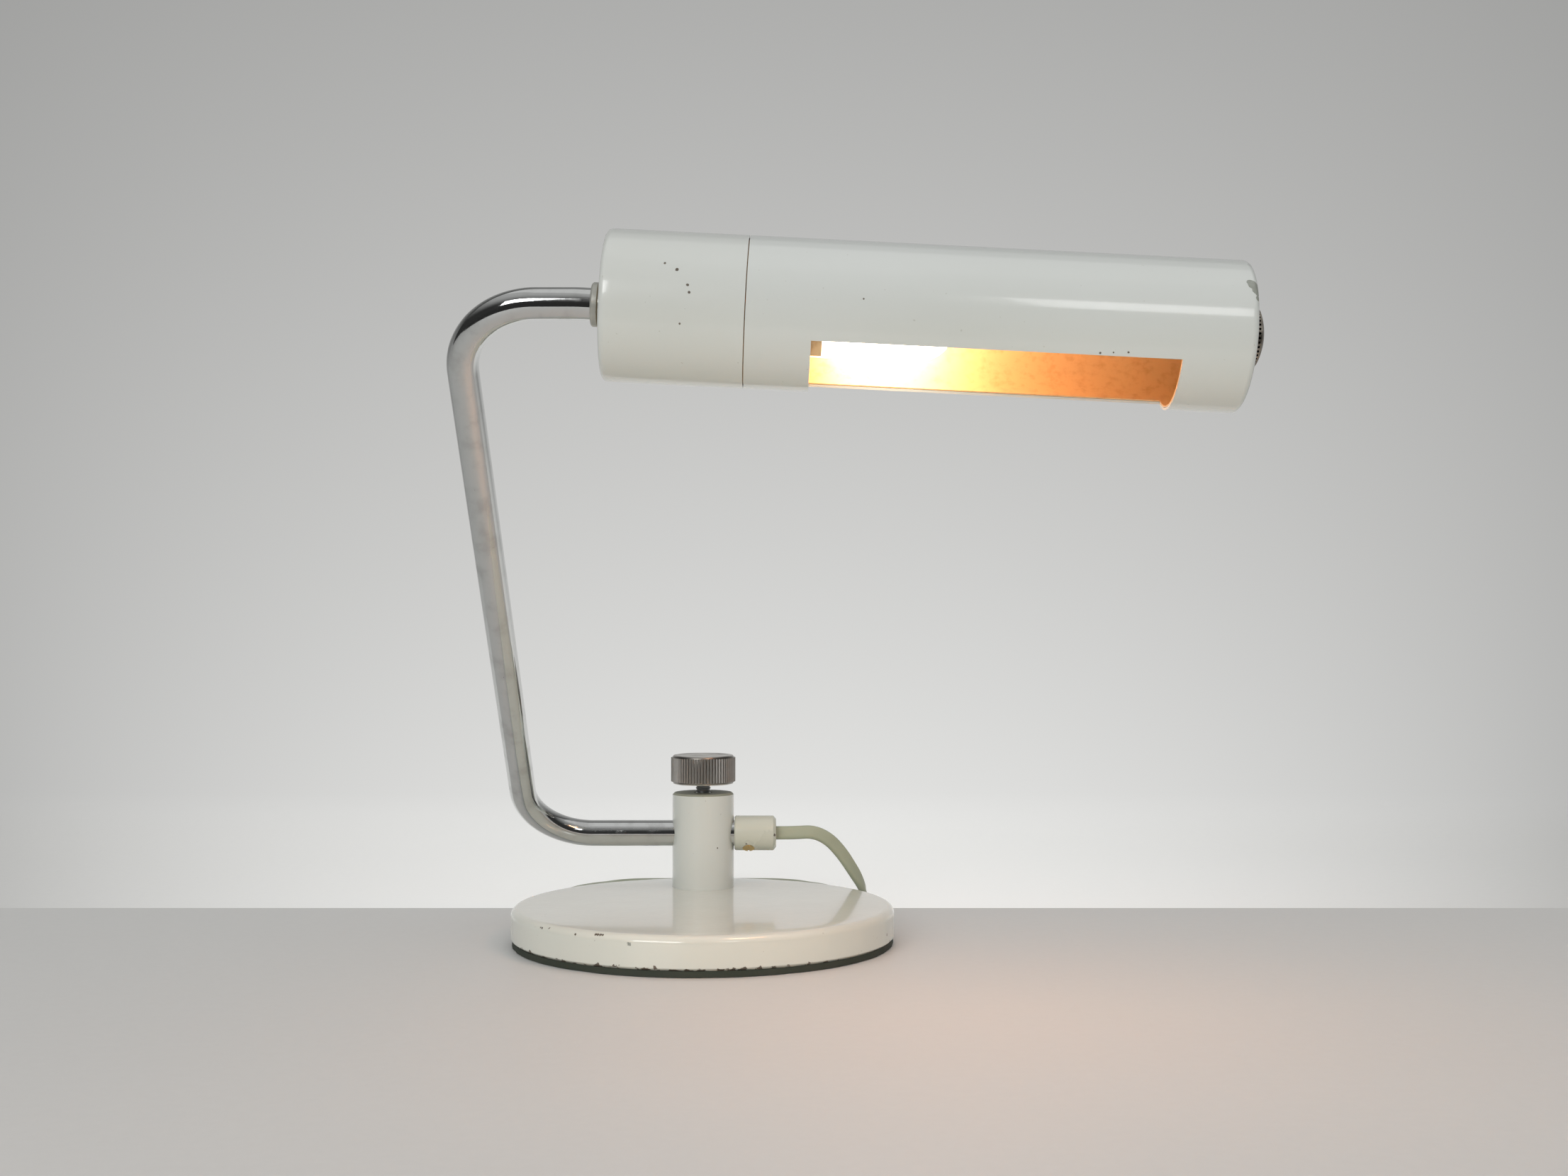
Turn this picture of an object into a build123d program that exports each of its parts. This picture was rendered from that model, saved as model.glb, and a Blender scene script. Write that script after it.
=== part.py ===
from build123d import *
import math
import os

# Desk lamp: a round iron base, an upright post with a thumb screw, a U-shaped arm tube that
# swings in the post, and a tubular head whose sleeve turns about its own axis.
# Millimetres, +Z up, +X to the right, the viewer on the -Y side. The origin is the centre of
# the base's underside.

# Base
base_r = 70.0
base_top = 13.85
base_edge = 2.75
pad_inset = 0.4
pad_t = 2.3
pad_hole_r = 9.0

# Post and its fixing screw
post_x = -2.0
post_y = 44.3
post_r = 12.0
post_h = 36.7
post_chamfer = 0.8
bore_above_base = 20.85
m6_r = 3.0
screw_head_r = 5.0
screw_head_h = 4.0
screw_depth = 9.0
washer_r = 6.0
washer_t = 1.2
counterbore_r = 6.4

# Thumb screw with a swivel foot
foot_r = 2.4
foot_h = 3.0
knob_r = 12.5
knob_h = 11.1
knob_gap = 3.5
knob_chamfer = 1.1
knurl_count = 64
knurl_depth = 0.45

# Arm
tube_r = 5.0
tube_wall = 1.5
arm_left = -70.3
arm_reach = 244.6
arm_lean = 43.0
bend_r = 25.0
head_droop = 2.9
kink_to_head = 8.5
kink_r = 60.0
head_x = -24.5
tube_in_head = 14.0

# Grip on the arm's lower end, where the cord enters
grip_r = 6.75
grip_len = 16.2
grip_chamfer = 2.0
grip_on_tube = 11.0
grip_mouth_r = 3.1
grip_screw_r = 1.5
grip_screw_head_r = 2.3
grip_screw_head_h = 1.2
grip_slot_w = 0.7
grip_screw_down = 57.0

# Fits and gaps
run_fit = 0.05
turn_fit = 0.08
face_gap = 0.05
body_gap = 0.3
small_edge = 0.4

# Head: lengths along its axis, from the housing's closed end
shell_r = 23.0
shell_wall = 0.8
housing_len = 42.8
housing_edge = 2.0
seam_gap = 0.3
sleeve_end = 192.5
sleeve_edge = 2.0
window_start = 62.6
window_end = 171.0
window_top = 27.7
window_back = 119.0
liner_gap = 0.1
liner_t = 0.4
liner_end = 186.0
liner_slit = 3.0

# Ring nuts and washers that hold the housing on the tube
nut_r = 6.7
nut_t = 2.8
brass_washer_r = 7.6
brass_washer_t = 1.2
toothed_r = 8.0
toothed_t = 0.8
inner_nut_flats = 14.0
inner_nut_t = 3.0

# Spigot that the sleeve turns on
spigot_t = 0.7
spigot_in_housing = 12.8
spigot_in_sleeve = 13.2
tongue_out = 23.0
tongue_low = 42.0
tongue_wide = 34.0
spigot_step = 2.0
slots = 6
slot_w = 2.0

# Lampholder
cap_r = 12.0
cap_start = 5.2
cap_wall = 1.6
core_start = 18.2
core_t = 5.6
holder_wall = 1.5
holder_start = 11.5
holder_end = 43.0
thread_r = 7.05
thread_wall = 0.4
thread_end = 40.0
contact_t = 0.4
contact_w = 6.0
terminal_r = 2.1
terminal_at = 8.0
terminal_h = 1.4
spring_w = 2.4
cap_edge = 1.5
holder_edge = 1.0
lead_bend = 0.8
lead_out = 0.4

# Bulb
bulb_cap_r = 6.95
bulb_cap_start = 26.7
bulb_cap_end = 43.4
bulb_r = 12.5
bulb_end = 106.5
glass_t = 0.7
bulb_tip_r = 2.4
filament_at = 76.0
filament_wire = 0.25
support_wire = 0.35
bulb_cap_wall = 0.35
insulator_h = 1.2
insulator_in = 2.5
tip_h = 0.5
glass_in_cap = 3.0
shoulder_len = 11.0
stem_r = 2.4
stem_len = 14.0
stem_flare = 1.2
filament_half = 6.0
filament_deep = 7.0
filament_bend = 0.8
wire_bend = 3.0

# Rotary switch in the sleeve's end
switch_r = 8.0
switch_len = 14.0
bush_r = 4.4
bush_out = 3.0
bush_in = 3.0
spindle_r = 3.0
spindle_in = 6.0
end_nut_r = 6.0
end_nut_t = 1.6
turn_knob_r = 8.7
turn_knob_h = 6.0
turn_knob_rim = 4.0
turn_knob_wall = 1.3
dimples = 40
dimple_r = 0.4
dimple_at = 3.2
dimple_depth = 0.6
wire_r = 0.6
wire_clear = 0.9
wire_spread = 9.0
wire_past = 5.0
tab_len = 4.0
tab_w = 3.0
tab_t = 0.6

# Cord: a flat twin lead, its put-away coil behind the base, and the plug
cord_w = 5.0
cord_t = 3.1
cord_d = 4.0
lead_d = 4.4
coil_x = -4.0
coil_behind = 3.3
coil_run = 50.0
coil_in = 12.2
coil_pitch = 5.5
low_turns = 5
high_turns = 3
coil_start_x = 29.0
coil_lift = 0.7
layer_gap = 0.6
climb_bend = 40.0
tie_t = 0.4
tie_w = 6.0
tie_x = -26.0
tie_gap = 0.2
plug_w = 20.0
plug_h = 8.6
plug_len = 19.0
relief_len = 20.0
relief_mouth_r = 3.2
relief_root_r = 3.8
plug_side = 2.6
plug_back = 1.6
plug_face = 0.6
blade_edge = 0.45
blade_len = 16.0
blade_t = 1.5
blade_w = 6.3
blade_apart = 12.7
blade_hole_r = 1.5
tail_end = (-4.0, 101.5)
tail_run = 7.2

# Values worked out from the ones above
pad_r = base_r - pad_inset
coil_front = base_r + coil_behind
post_top = base_top + post_h
axis_z = base_top + bore_above_base
lean = math.radians(arm_lean)
arm_y = post_y - arm_reach * math.sin(lean)
arm_z = axis_z + arm_reach * math.cos(lean)
droop = math.radians(head_droop)
grip_left = post_x + post_r + body_gap
grip_right = grip_left + grip_len
kink_x = head_x - kink_to_head * math.cos(droop)
head_z = arm_z - kink_to_head * math.sin(droop)
spigot_back = housing_len - spigot_in_housing
spigot_front = housing_len + spigot_in_sleeve
tongue_end = housing_len + tongue_out
HEAD = Location((head_x, arm_y, head_z), (0, head_droop, 0))
inner_r = shell_r - shell_wall
liner_out = inner_r - liner_gap
liner_in = liner_out - liner_t
finger_r = liner_in - turn_fit
wire_ring = finger_r - spigot_t - wire_clear - wire_r
sleeve_start = housing_len + seam_gap
end_inside = sleeve_end - shell_wall
coil_out = coil_in + (low_turns - 1) * coil_pitch
coil_y = coil_front + coil_out
low_z = coil_lift + cord_t / 2
high_z = low_z + cord_t + layer_gap
coil_top = high_z + cord_t / 2
tail_y = coil_y - coil_in - (high_turns - 1) * coil_pitch
plug_z = coil_top + body_gap + plug_h / 2
MIN_Z = (Align.CENTER, Align.CENTER, Align.MIN)
FROM_X = (Align.MIN, Align.CENTER, Align.CENTER)
FROM_Y = (Align.CENTER, Align.MIN, Align.CENTER)


def post(z0, z1, r):
    """An upright round bar on the post's axis."""
    return Pos(post_x, post_y, z0) * Cylinder(r, z1 - z0, align=MIN_Z)


def bar(x0, x1, r, y=0.0, z=0.0):
    """A round bar along X."""
    return Pos(x0, y, z) * Rot(0, 90, 0) * Cylinder(r, x1 - x0, align=MIN_Z)


def ring(x0, x1, r_out, r_in):
    """A round tube along X."""
    return bar(x0, x1, r_out) - bar(x0 - 1, x1 + 1, r_in)


def turned(points):
    """A solid turned about X from an outline of (x, radius) points."""
    return revolve(make_face(Polyline(*points, close=True)), Axis.X, 360)


def pipe(path, r):
    """A round bar that follows a path."""
    return sweep((path ^ 0) * Circle(r), path=path)


def route(points):
    """Straight runs joined by tangent arcs, each arc as large as its two runs allow."""
    spots = [Vector(*p) for p in points]
    radii = []
    for a, b, c in zip(spots, spots[1:], spots[2:]):
        before, after = b - a, c - b
        half_turn = math.radians(before.get_angle(after)) / 2
        radii.append(0.45 * min(before.length, after.length) / math.tan(half_turn))
    return FilletPolyline(*spots, radius=radii), radii


def knurled(r, h, count, depth):
    """An upright bar with straight knurling."""
    points = []
    for i in range(2 * count):
        a = math.pi * i / count
        reach = r if i % 2 == 0 else r - depth
        points.append((reach * math.cos(a), reach * math.sin(a)))
    return extrude(make_face(Polyline(*points, close=True)), h)


def base():
    """The iron disc with its pad, and the screw that holds the post from below."""
    disc = Pos(0, 0, pad_t) * Cylinder(base_r, base_top - pad_t, align=MIN_Z)
    disc = fillet(disc.edges().group_by(Axis.Z)[-1], base_edge)
    disc = chamfer(disc.edges().group_by(Axis.Z)[0], 0.5)
    sunk = pad_t + screw_head_h + washer_t + face_gap
    disc -= post(0, sunk, counterbore_r) + post(0, base_top + 1, m6_r + run_fit)
    pad = Cylinder(pad_r, pad_t, align=MIN_Z) - post(-1, pad_t + 1, pad_hole_r)
    washer = post(sunk - washer_t, sunk, washer_r) - post(0, sunk + 1, m6_r + run_fit)
    head = post(sunk - washer_t - screw_head_h, sunk - washer_t, screw_head_r)
    hexagon = Pos(post_x, post_y, 0) * extrude(RegularPolygon(2.9, 6), 2 * pad_t)
    shank = post(sunk - washer_t, base_top + screw_depth, m6_r)
    return {
        "base_disc": disc,
        "base_pad": pad,
        "post_washer": washer,
        "post_screw": head + shank - hexagon,
    }


def upright():
    """The post, bored across for the arm, and down its middle for both screws."""
    body = post(base_top, post_top, post_r)
    body = chamfer(body.edges().group_by(Axis.Z)[-1], post_chamfer)
    body -= bar(post_x - 2 * post_r, post_x + 2 * post_r, tube_r + run_fit, post_y, axis_z)
    body -= post(axis_z, post_top + 1, m6_r)
    body -= post(base_top - 1, base_top + screw_depth + face_gap, m6_r)
    return {"post": body}


def thumb_screw():
    """The knurled knob on its stud, and the swivel foot that presses the arm."""
    foot_z = axis_z + tube_r + run_fit
    stud_z = foot_z + foot_h + face_gap
    knob_z = post_top + knob_gap
    stud_top = knob_z + 0.7 * knob_h
    foot = post(foot_z, foot_z + foot_h, foot_r)
    stud = post(stud_z, stud_top, m6_r - run_fit)
    knob = Pos(post_x, post_y, knob_z) * knurled(knob_r, knob_h, knurl_count, knurl_depth)
    blank = chamfer(post(knob_z, knob_z + knob_h, knob_r).edges(), knob_chamfer)
    knob = knob & blank
    knob -= post(knob_z - 1, stud_top, m6_r - run_fit)
    return {"clamp_foot": foot, "thumb_stud": stud, "thumb_knob": knob}


def arm_path(start_x, end_in_head):
    """The arm's centre line, from the grip through the post and up to the head."""
    end = HEAD * Pos(end_in_head, 0, 0)
    points = [
        (start_x, post_y, axis_z),
        (arm_left, post_y, axis_z),
        (arm_left, arm_y, arm_z),
        (kink_x, arm_y, arm_z),
        tuple(end.position),
    ]
    return FilletPolyline(*points, radius=[bend_r, bend_r, kink_r])


def arm():
    """The bent tube, the lead inside it, and the grip on its lower end."""
    tube_path = arm_path(grip_left + grip_on_tube, tube_in_head)
    section = (tube_path ^ 0) * (Circle(tube_r) - Circle(tube_r - tube_wall))
    tube = sweep(section, path=tube_path)
    lead = pipe(arm_path(grip_right - body_gap, tube_in_head + lead_out), lead_d / 2)
    sleeve = bar(grip_left, grip_right, grip_r, post_y, axis_z)
    sleeve = chamfer(sleeve.edges().group_by(Axis.X)[-1], grip_chamfer)
    sleeve = chamfer(sleeve.edges().group_by(Axis.X)[0], small_edge)
    on_tube = grip_left + grip_on_tube
    sleeve -= bar(grip_left - 1, on_tube, tube_r, post_y, axis_z)
    sleeve -= bar(on_tube - 1, grip_right + 1, grip_mouth_r, post_y, axis_z)
    screw_x = grip_left + 0.5 * grip_on_tube
    aim = Pos(screw_x, post_y, axis_z) * Rot(90 + grip_screw_down, 0, 0)
    shank = Pos(0, 0, tube_r) * Cylinder(grip_screw_r, grip_r - tube_r, align=MIN_Z)
    head_z = grip_r - grip_screw_head_h
    head = Pos(0, 0, head_z) * Cylinder(grip_screw_head_r, grip_screw_head_h, align=MIN_Z)
    slot = Pos(0, 0, grip_r) * Box(grip_slot_w, 4 * grip_screw_head_r, grip_screw_head_h)
    screw = aim * (shank + head - slot)
    sleeve -= aim * (shank + head)
    return {"arm_tube": tube, "inner_lead": lead, "cord_grip": sleeve, "grip_screw": screw}


def nuts():
    """The ring nut and brass washer outside the housing, and the nut and washer inside."""
    washer_x = -brass_washer_t
    nut_x = washer_x - nut_t
    outer = chamfer(bar(nut_x, washer_x, nut_r).edges(), small_edge)
    outer -= bar(nut_x - 1, washer_x + 1, tube_r)
    washer = ring(washer_x, 0, brass_washer_r, tube_r)
    toothed_x = shell_wall
    toothed = ring(toothed_x, toothed_x + toothed_t, toothed_r, tube_r)
    inner_x = toothed_x + toothed_t
    flats = RegularPolygon(inner_nut_flats / 2, 6, major_radius=False)
    inner = Pos(inner_x, 0, 0) * Rot(0, 90, 0) * extrude(flats, inner_nut_t)
    inner -= bar(inner_x - 1, inner_x + inner_nut_t + 1, tube_r)
    return {
        "ring_nut": outer,
        "brass_washer": washer,
        "toothed_washer": toothed,
        "inner_nut": inner,
    }


def housing():
    """The head's fixed shell, closed at the arm's end."""
    shell = bar(0, housing_len, shell_r)
    shell = fillet(shell.edges().group_by(Axis.X)[0], housing_edge)
    hollow = bar(shell_wall, housing_len + 1, inner_r)
    hollow = fillet(hollow.edges().group_by(Axis.X)[0], housing_edge - shell_wall)
    return {"lamp_housing": shell - hollow - bar(-1, shell_wall + 1, tube_r)}


def sector(x0, x1, low, high, r):
    """A wedge about X, from one angle to another below the side that faces the viewer."""
    points = [(0, 0)]
    steps = 6
    for i in range(steps + 1):
        a = math.radians(low + (high - low) * i / steps)
        points.append((-r * math.cos(a), -r * math.sin(a)))
    face = Plane.YZ * make_face(Polyline(*points, close=True))
    return Pos(x0, 0, 0) * extrude(face, x1 - x0)


def spigot():
    """The slotted sheet ring fixed in the housing, with the long tongue that shows."""
    step = housing_len - spigot_step
    back = ring(spigot_back, step, inner_r, inner_r - spigot_t)
    neck = ring(step, step + spigot_t, inner_r, finger_r - spigot_t)
    fingers = ring(step, spigot_front, finger_r, finger_r - spigot_t)
    for i in range(slots):
        turn = Rot(360 * i / slots, 0, 0)
        fingers -= turn * Pos(sleeve_start, shell_r, 0) * Box(housing_len, shell_r, slot_w, align=FROM_X)
    tongue = ring(step, tongue_end, finger_r, finger_r - spigot_t)
    tongue &= sector(step, tongue_end, tongue_low - tongue_wide, tongue_low, 2 * shell_r)
    return {"shade_spigot": back + neck + fingers + tongue}


def holder():
    """The lampholder: cap on the tube, insulating core, thread, contact and outer shell."""
    cap = bar(cap_start, core_start, cap_r)
    cap = fillet(cap.edges().group_by(Axis.X)[0], cap_edge)
    cap -= bar(tube_in_head, core_start + 1, cap_r - cap_wall)
    cap -= bar(0, core_start, tube_r)
    core = bar(core_start, core_start + core_t, cap_r)
    shell = bar(holder_start, holder_end, cap_r + run_fit + holder_wall)
    shell = fillet(shell.edges().group_by(Axis.X)[-1], holder_edge)
    seat = core_start + core_t
    shell -= bar(holder_start - 1, seat, cap_r + run_fit)
    shell -= bar(seat - 1, holder_end + 1, thread_r + thread_wall + run_fit)
    thread = ring(seat, thread_end, thread_r + thread_wall, thread_r)
    contact = Pos(seat, 0, 0) * Box(contact_t, contact_w, contact_w, align=FROM_X)
    rise = bulb_cap_start - insulator_h - tip_h - seat
    contact += Pos(seat, 0, 0) * Box(rise, spring_w, spring_w, align=FROM_X)
    screws = []
    for side in (-1, 1):
        screws.append(bar(core_start - terminal_h, core_start, terminal_r, 0, side * terminal_at))
    leads = []
    for side in (-1, 1):
        z = side * terminal_at
        points = [
            (tube_in_head + 1.0, 0, 0.16 * z),
            (core_start - 2.4, 0, 0.5 * z),
            (core_start - 2.0, 0, z - side * (terminal_r + wire_r)),
        ]
        leads.append(pipe(FilletPolyline(*points, radius=lead_bend), wire_r))
    return {
        "holder_cap": cap,
        "holder_core": core,
        "holder_shell": shell,
        "screw_shell": thread,
        "centre_contact": contact,
        "terminal_screws": Compound(screws),
        "holder_leads": Compound(leads),
    }


def bulb():
    """The tubular bulb: screw cap, insulator, tip, glass, stem and filament."""
    shelf = bulb_cap_start + insulator_in
    neck_r = bulb_cap_r - bulb_cap_wall
    cap = ring(bulb_cap_start, bulb_cap_end, bulb_cap_r, neck_r)
    insulator = turned([
        (bulb_cap_start - insulator_h, 0),
        (bulb_cap_start - insulator_h, bulb_tip_r),
        (bulb_cap_start, neck_r),
        (shelf, neck_r),
        (shelf, 0),
    ])
    tip = bar(bulb_cap_start - insulator_h - tip_h, bulb_cap_start - insulator_h, bulb_tip_r)
    neck_x = bulb_cap_end - glass_in_cap
    shoulder = bulb_cap_end + shoulder_len
    dome = bulb_end - bulb_r

    def outline(inset):
        line = Polyline((neck_x, 0), (neck_x, neck_r - inset), (bulb_cap_end, neck_r - inset))
        middle = ((bulb_cap_end + shoulder) / 2, (neck_r + bulb_r) / 2 - inset)
        hollow = TangentArc((bulb_cap_end, neck_r - inset), middle, tangent=(1, 0))
        swell = TangentArc(middle, (shoulder, bulb_r - inset), tangent=hollow % 1)
        side = Line((shoulder, bulb_r - inset), (dome, bulb_r - inset))
        tip_x = dome + bulb_r - inset
        end = RadiusArc((dome, bulb_r - inset), (tip_x, 0), bulb_r - inset)
        close = Line((tip_x, 0), (neck_x, 0))
        return revolve(make_face([line, hollow, swell, side, end, close]), Axis.X, 360)

    stem_end = bulb_cap_end + stem_len
    glass = outline(0) - outline(glass_t) - bar(neck_x - 1, neck_x + 1, neck_r - glass_t)
    stem = bar(neck_x, stem_end, stem_r) + bar(neck_x, neck_x + stem_flare, neck_r - glass_t)
    stem = fillet(stem.edges().group_by(Axis.X)[-1], 0.4 * stem_r)
    wires = []
    for side in (-1, 1):
        points = [
            (stem_end + face_gap, 0, side * 0.6 * stem_r),
            (stem_end + 4, 0, side * 1.1 * stem_r),
            (filament_at, 0, side * filament_half),
        ]
        wires.append(pipe(FilletPolyline(*points, radius=wire_bend), support_wire))
    zigzag = []
    for i in range(-2, 3):
        zigzag.append((filament_at + filament_deep * (i % 2), 0, i * filament_half / 2))
    filament = pipe(FilletPolyline(*zigzag, radius=filament_bend), filament_wire)
    return {
        "bulb_cap": cap,
        "bulb_insulator": insulator,
        "bulb_tip": tip,
        "bulb_glass": glass,
        "bulb_stem": stem,
        "bulb_filament": Compound([filament, *wires]),
    }


def sleeve():
    """The turning sleeve with its window, and the thin copper liner inside it."""
    shell = bar(sleeve_start, sleeve_end, shell_r)
    shell = fillet(shell.edges().group_by(Axis.X)[-1], sleeve_edge)
    hollow = bar(sleeve_start - 1, end_inside, inner_r)
    hollow = fillet(hollow.edges().group_by(Axis.X)[-1], sleeve_edge - shell_wall)
    shell = shell - hollow - bar(end_inside - 1, sleeve_end + 1, bush_r)
    shell -= sector(window_start, window_end, window_top, window_back, 2 * shell_r)
    liner = ring(sleeve_start, liner_end, liner_out, liner_in)
    liner -= sector(window_start, window_end, window_top, window_back, 2 * shell_r)
    middle = (sleeve_start + liner_end) / 2
    liner -= Pos(middle, 0, shell_r) * Box(liner_end, liner_slit, shell_r)
    return {"shade_sleeve": shell, "reflector_liner": liner}


def switch():
    """The rotary switch in the sleeve's end, its nut, wires, spindle and knob."""
    body_x = end_inside - switch_len
    body = chamfer(bar(body_x, end_inside, switch_r).edges(), small_edge)
    bush_end = sleeve_end + bush_out
    body -= bar(end_inside - bush_in, end_inside + 1, bush_r)
    bush = ring(end_inside - bush_in, bush_end, bush_r, spindle_r + run_fit)
    body -= bar(end_inside - spindle_in, end_inside, spindle_r + run_fit)
    nut = ring(sleeve_end, sleeve_end + end_nut_t, end_nut_r, bush_r)
    knob_x = sleeve_end + body_gap
    knob_end = knob_x + turn_knob_h
    rim = Polyline((knob_x, 0), (knob_x, turn_knob_r), (knob_x + turn_knob_rim, turn_knob_r))
    rise = turn_knob_h - turn_knob_rim
    dome_r = (turn_knob_r**2 + rise**2) / (2 * rise)
    dome = RadiusArc((knob_x + turn_knob_rim, turn_knob_r), (knob_end, 0), dome_r)
    knob = revolve(make_face([rim, dome, Line((knob_end, 0), (knob_x, 0))]), Axis.X, 360)
    hollow_end = bush_end + body_gap
    knob -= bar(knob_x - 1, hollow_end, end_nut_r + body_gap)
    spindle_end = hollow_end + turn_knob_wall
    knob -= bar(knob_x, spindle_end, spindle_r)
    for i in range(dimples):
        spot = Rot(360 * (i + 0.5) / dimples, 0, 0) * Pos(knob_x + dimple_at, 0, turn_knob_r)
        knob -= spot * Cylinder(dimple_r, 2 * dimple_depth)
    spindle = bar(end_inside - spindle_in + face_gap, spindle_end, spindle_r)
    tabs = []
    wires = []
    for side in (-1, 1):
        tab_y = side * 0.5 * switch_r
        tabs.append(Pos(body_x - tab_len, tab_y, 0) * Box(tab_len, tab_t, tab_w, align=FROM_X))
        lift = math.radians(90 + side * wire_spread)
        out_y = -wire_ring * math.cos(lift)
        out_z = wire_ring * math.sin(lift)
        near_x = holder_start + wire_past
        near = (cap_r + holder_wall + 3 * wire_r) / wire_ring
        points = [
            (body_x - tab_len - 2 * body_gap, tab_y, 0),
            (body_x - 2.5 * tab_len, tab_y, 0.4 * out_z),
            (body_x - 5.5 * tab_len, out_y, out_z),
            (near_x + 2 * tab_len, out_y, out_z),
            (near_x, near * out_y, near * out_z),
        ]
        wires.append(pipe(FilletPolyline(*points, radius=wire_bend), wire_r))
    return {
        "switch_body": body,
        "switch_bush": bush,
        "switch_nut": nut,
        "switch_tabs": Compound(tabs),
        "switch_wires": Compound(wires),
        "switch_spindle": spindle,
        "switch_knob": knob,
    }


def free_points():
    """Where the cord goes from the grip, down behind the base's right side, to the coil."""
    return [
        (grip_right, post_y, axis_z),
        (34.0, post_y, axis_z),
        (41.0, 44.9, 35.0),
        (47.2, 45.9, 31.9),
        (52.2, 47.2, 26.3),
        (56.2, 49.0, 20.2),
        (59.6, 51.6, 14.6),
        (61.6, 57.0, 9.6),
        (60.6, 64.0, 5.7),
        (55.4, 70.0, 3.3),
        (47.6, 72.8, 2.4),
        (38.6, coil_front, low_z),
        (coil_start_x, coil_front, low_z),
    ]


def tail_points():
    """From the coil's last turn, up over the inner turns, to the plug that lies on them."""
    x, y = tail_end
    return [
        (coil_x + coil_run / 2, tail_y, high_z),
        (13.5, tail_y, high_z),
        (6.4, tail_y + 0.3, high_z + 2.6),
        (-0.2, tail_y + 3.6, plug_z - 1.2),
        (x, y - tail_run, plug_z),
        (x, y, plug_z),
    ]


def coil_path():
    """Flat turns that wind inwards on the floor, climb along a run, and wind out on top."""
    half = coil_run / 2
    edges = []
    spot = (coil_start_x, coil_front, low_z)
    offset = coil_out
    shrink = -coil_pitch / 2
    side = -1
    halves = 2 * (low_turns + high_turns - 1)
    climb_at = 2 * low_turns - 1
    z = low_z
    for i in range(halves):
        x_end = coil_x + side * half
        far = (x_end, spot[1], z)
        if i == climb_at:
            far = (x_end, spot[1], high_z)
            reach = x_end - spot[0]
            foot = (spot[0] + 0.3 * reach, spot[1], z)
            head = (spot[0] + 0.7 * reach, spot[1], high_z)
            edges += FilletPolyline(spot, foot, head, far, radius=climb_bend).edges()
            z = high_z
        else:
            edges.append(Line(spot, far))
        if i == climb_at:
            shrink = -shrink
        new_offset = offset + shrink
        y_new = coil_y - side * new_offset
        mid_y = (spot[1] + y_new) / 2
        bulge = abs(y_new - spot[1]) / 2
        edges.append(ThreePointArc(far, (x_end + side * bulge, mid_y, z), (x_end, y_new, z)))
        spot = (x_end, y_new, z)
        offset = new_offset
        side = -side
    return Wire(edges)


def coil_gap(path):
    """The least gap between one turn of the coil and another."""
    count = 1200
    spots = [path @ (i / count) for i in range(count + 1)]
    step = path.length / count
    apart = int(30 / step)
    least = 99.0
    for i, a in enumerate(spots):
        for b in spots[i + apart:]:
            across = max(0.0, math.hypot(a.X - b.X, a.Y - b.Y) - (cord_w - cord_t))
            least = min(least, math.hypot(across, a.Z - b.Z) - cord_t)
    return least


def cord():
    """The free lead, the coil, the tail to the plug, and the tie round one side of the coil."""
    free_path, free_radii = route(free_points())
    tail_path, tail_radii = route(tail_points())
    turns = coil_path()
    flat = Plane(turns @ 0, x_dir=(0, 1, 0), z_dir=(-1, 0, 0)) * SlotOverall(cord_w, cord_t)
    coil = sweep(flat, path=turns)
    free = pipe(free_path, cord_d / 2)
    tail = pipe(tail_path, cord_d / 2)
    for name, solid, path, area in (
        ("cord_free", free, free_path, math.pi * cord_d**2 / 4),
        ("cord_tail", tail, tail_path, math.pi * cord_d**2 / 4),
        ("cord_coil", coil, turns, flat.area),
    ):
        print(name, "length", round(path.length, 1), "volume over section times length",
              round(solid.volume / (area * path.length), 4))
    print("free radii", [round(r, 1) for r in free_radii])
    print("tail radii", [round(r, 1) for r in tail_radii])
    print("least gap in the coil", round(coil_gap(turns), 2))
    print("cord length", round(free_path.length + turns.length + tail_path.length, 1))
    return {"cord_free": free, "cord_coil": coil, "cord_tail": tail, "cord_tie": tie()}


def tie():
    """A soft band round the coil's front side."""
    low = coil_lift - tie_gap
    high = coil_top + tie_gap
    front = coil_front - cord_w / 2 - tie_gap
    back = coil_y - coil_in + cord_w / 2 + tie_gap
    shelf = tail_y - cord_w / 2 - tie_gap
    step = low_z + cord_t / 2 + tie_gap
    inside = [(front, low), (back, low), (back, high), (shelf, high), (front, step)]
    hole = Plane.YZ * make_face(Polyline(*inside, close=True))
    band = offset(hole, tie_t, kind=Kind.INTERSECTION) - hole
    return Pos(tie_x - tie_w / 2, 0, 0) * extrude(band, tie_w)


def plug():
    """A flat two-blade plug with a tapered strain relief."""
    x, y = tail_end
    start = Pos(x, y, plug_z) * Rot(-90, 0, 0)
    relief = start * Cone(relief_mouth_r, relief_root_r, relief_len, align=MIN_Z)
    y += relief_len
    body = Pos(x, y, plug_z) * Box(plug_w, plug_len, plug_h, align=FROM_Y)
    body = fillet(body.edges().filter_by(Axis.Y), plug_side)
    body = fillet(body.edges().group_by(Axis.Y)[0], plug_back)
    body = fillet(body.edges().group_by(Axis.Y)[-1], plug_face)
    y += plug_len
    blades = []
    for side in (-1, 1):
        blade_x = x + side * blade_apart / 2
        blade = Pos(blade_x, y, plug_z) * Box(blade_t, blade_len, blade_w, align=FROM_Y)
        blade = chamfer(blade.edges().group_by(Axis.Y)[-1], blade_edge)
        hole = Pos(blade_x, y + 0.75 * blade_len, plug_z) * Rot(0, 90, 0)
        blades.append(blade - hole * Cylinder(blade_hole_r, 4))
    return {"plug_body": body, "plug_relief": relief, "plug_blades": Compound(blades)}


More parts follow.
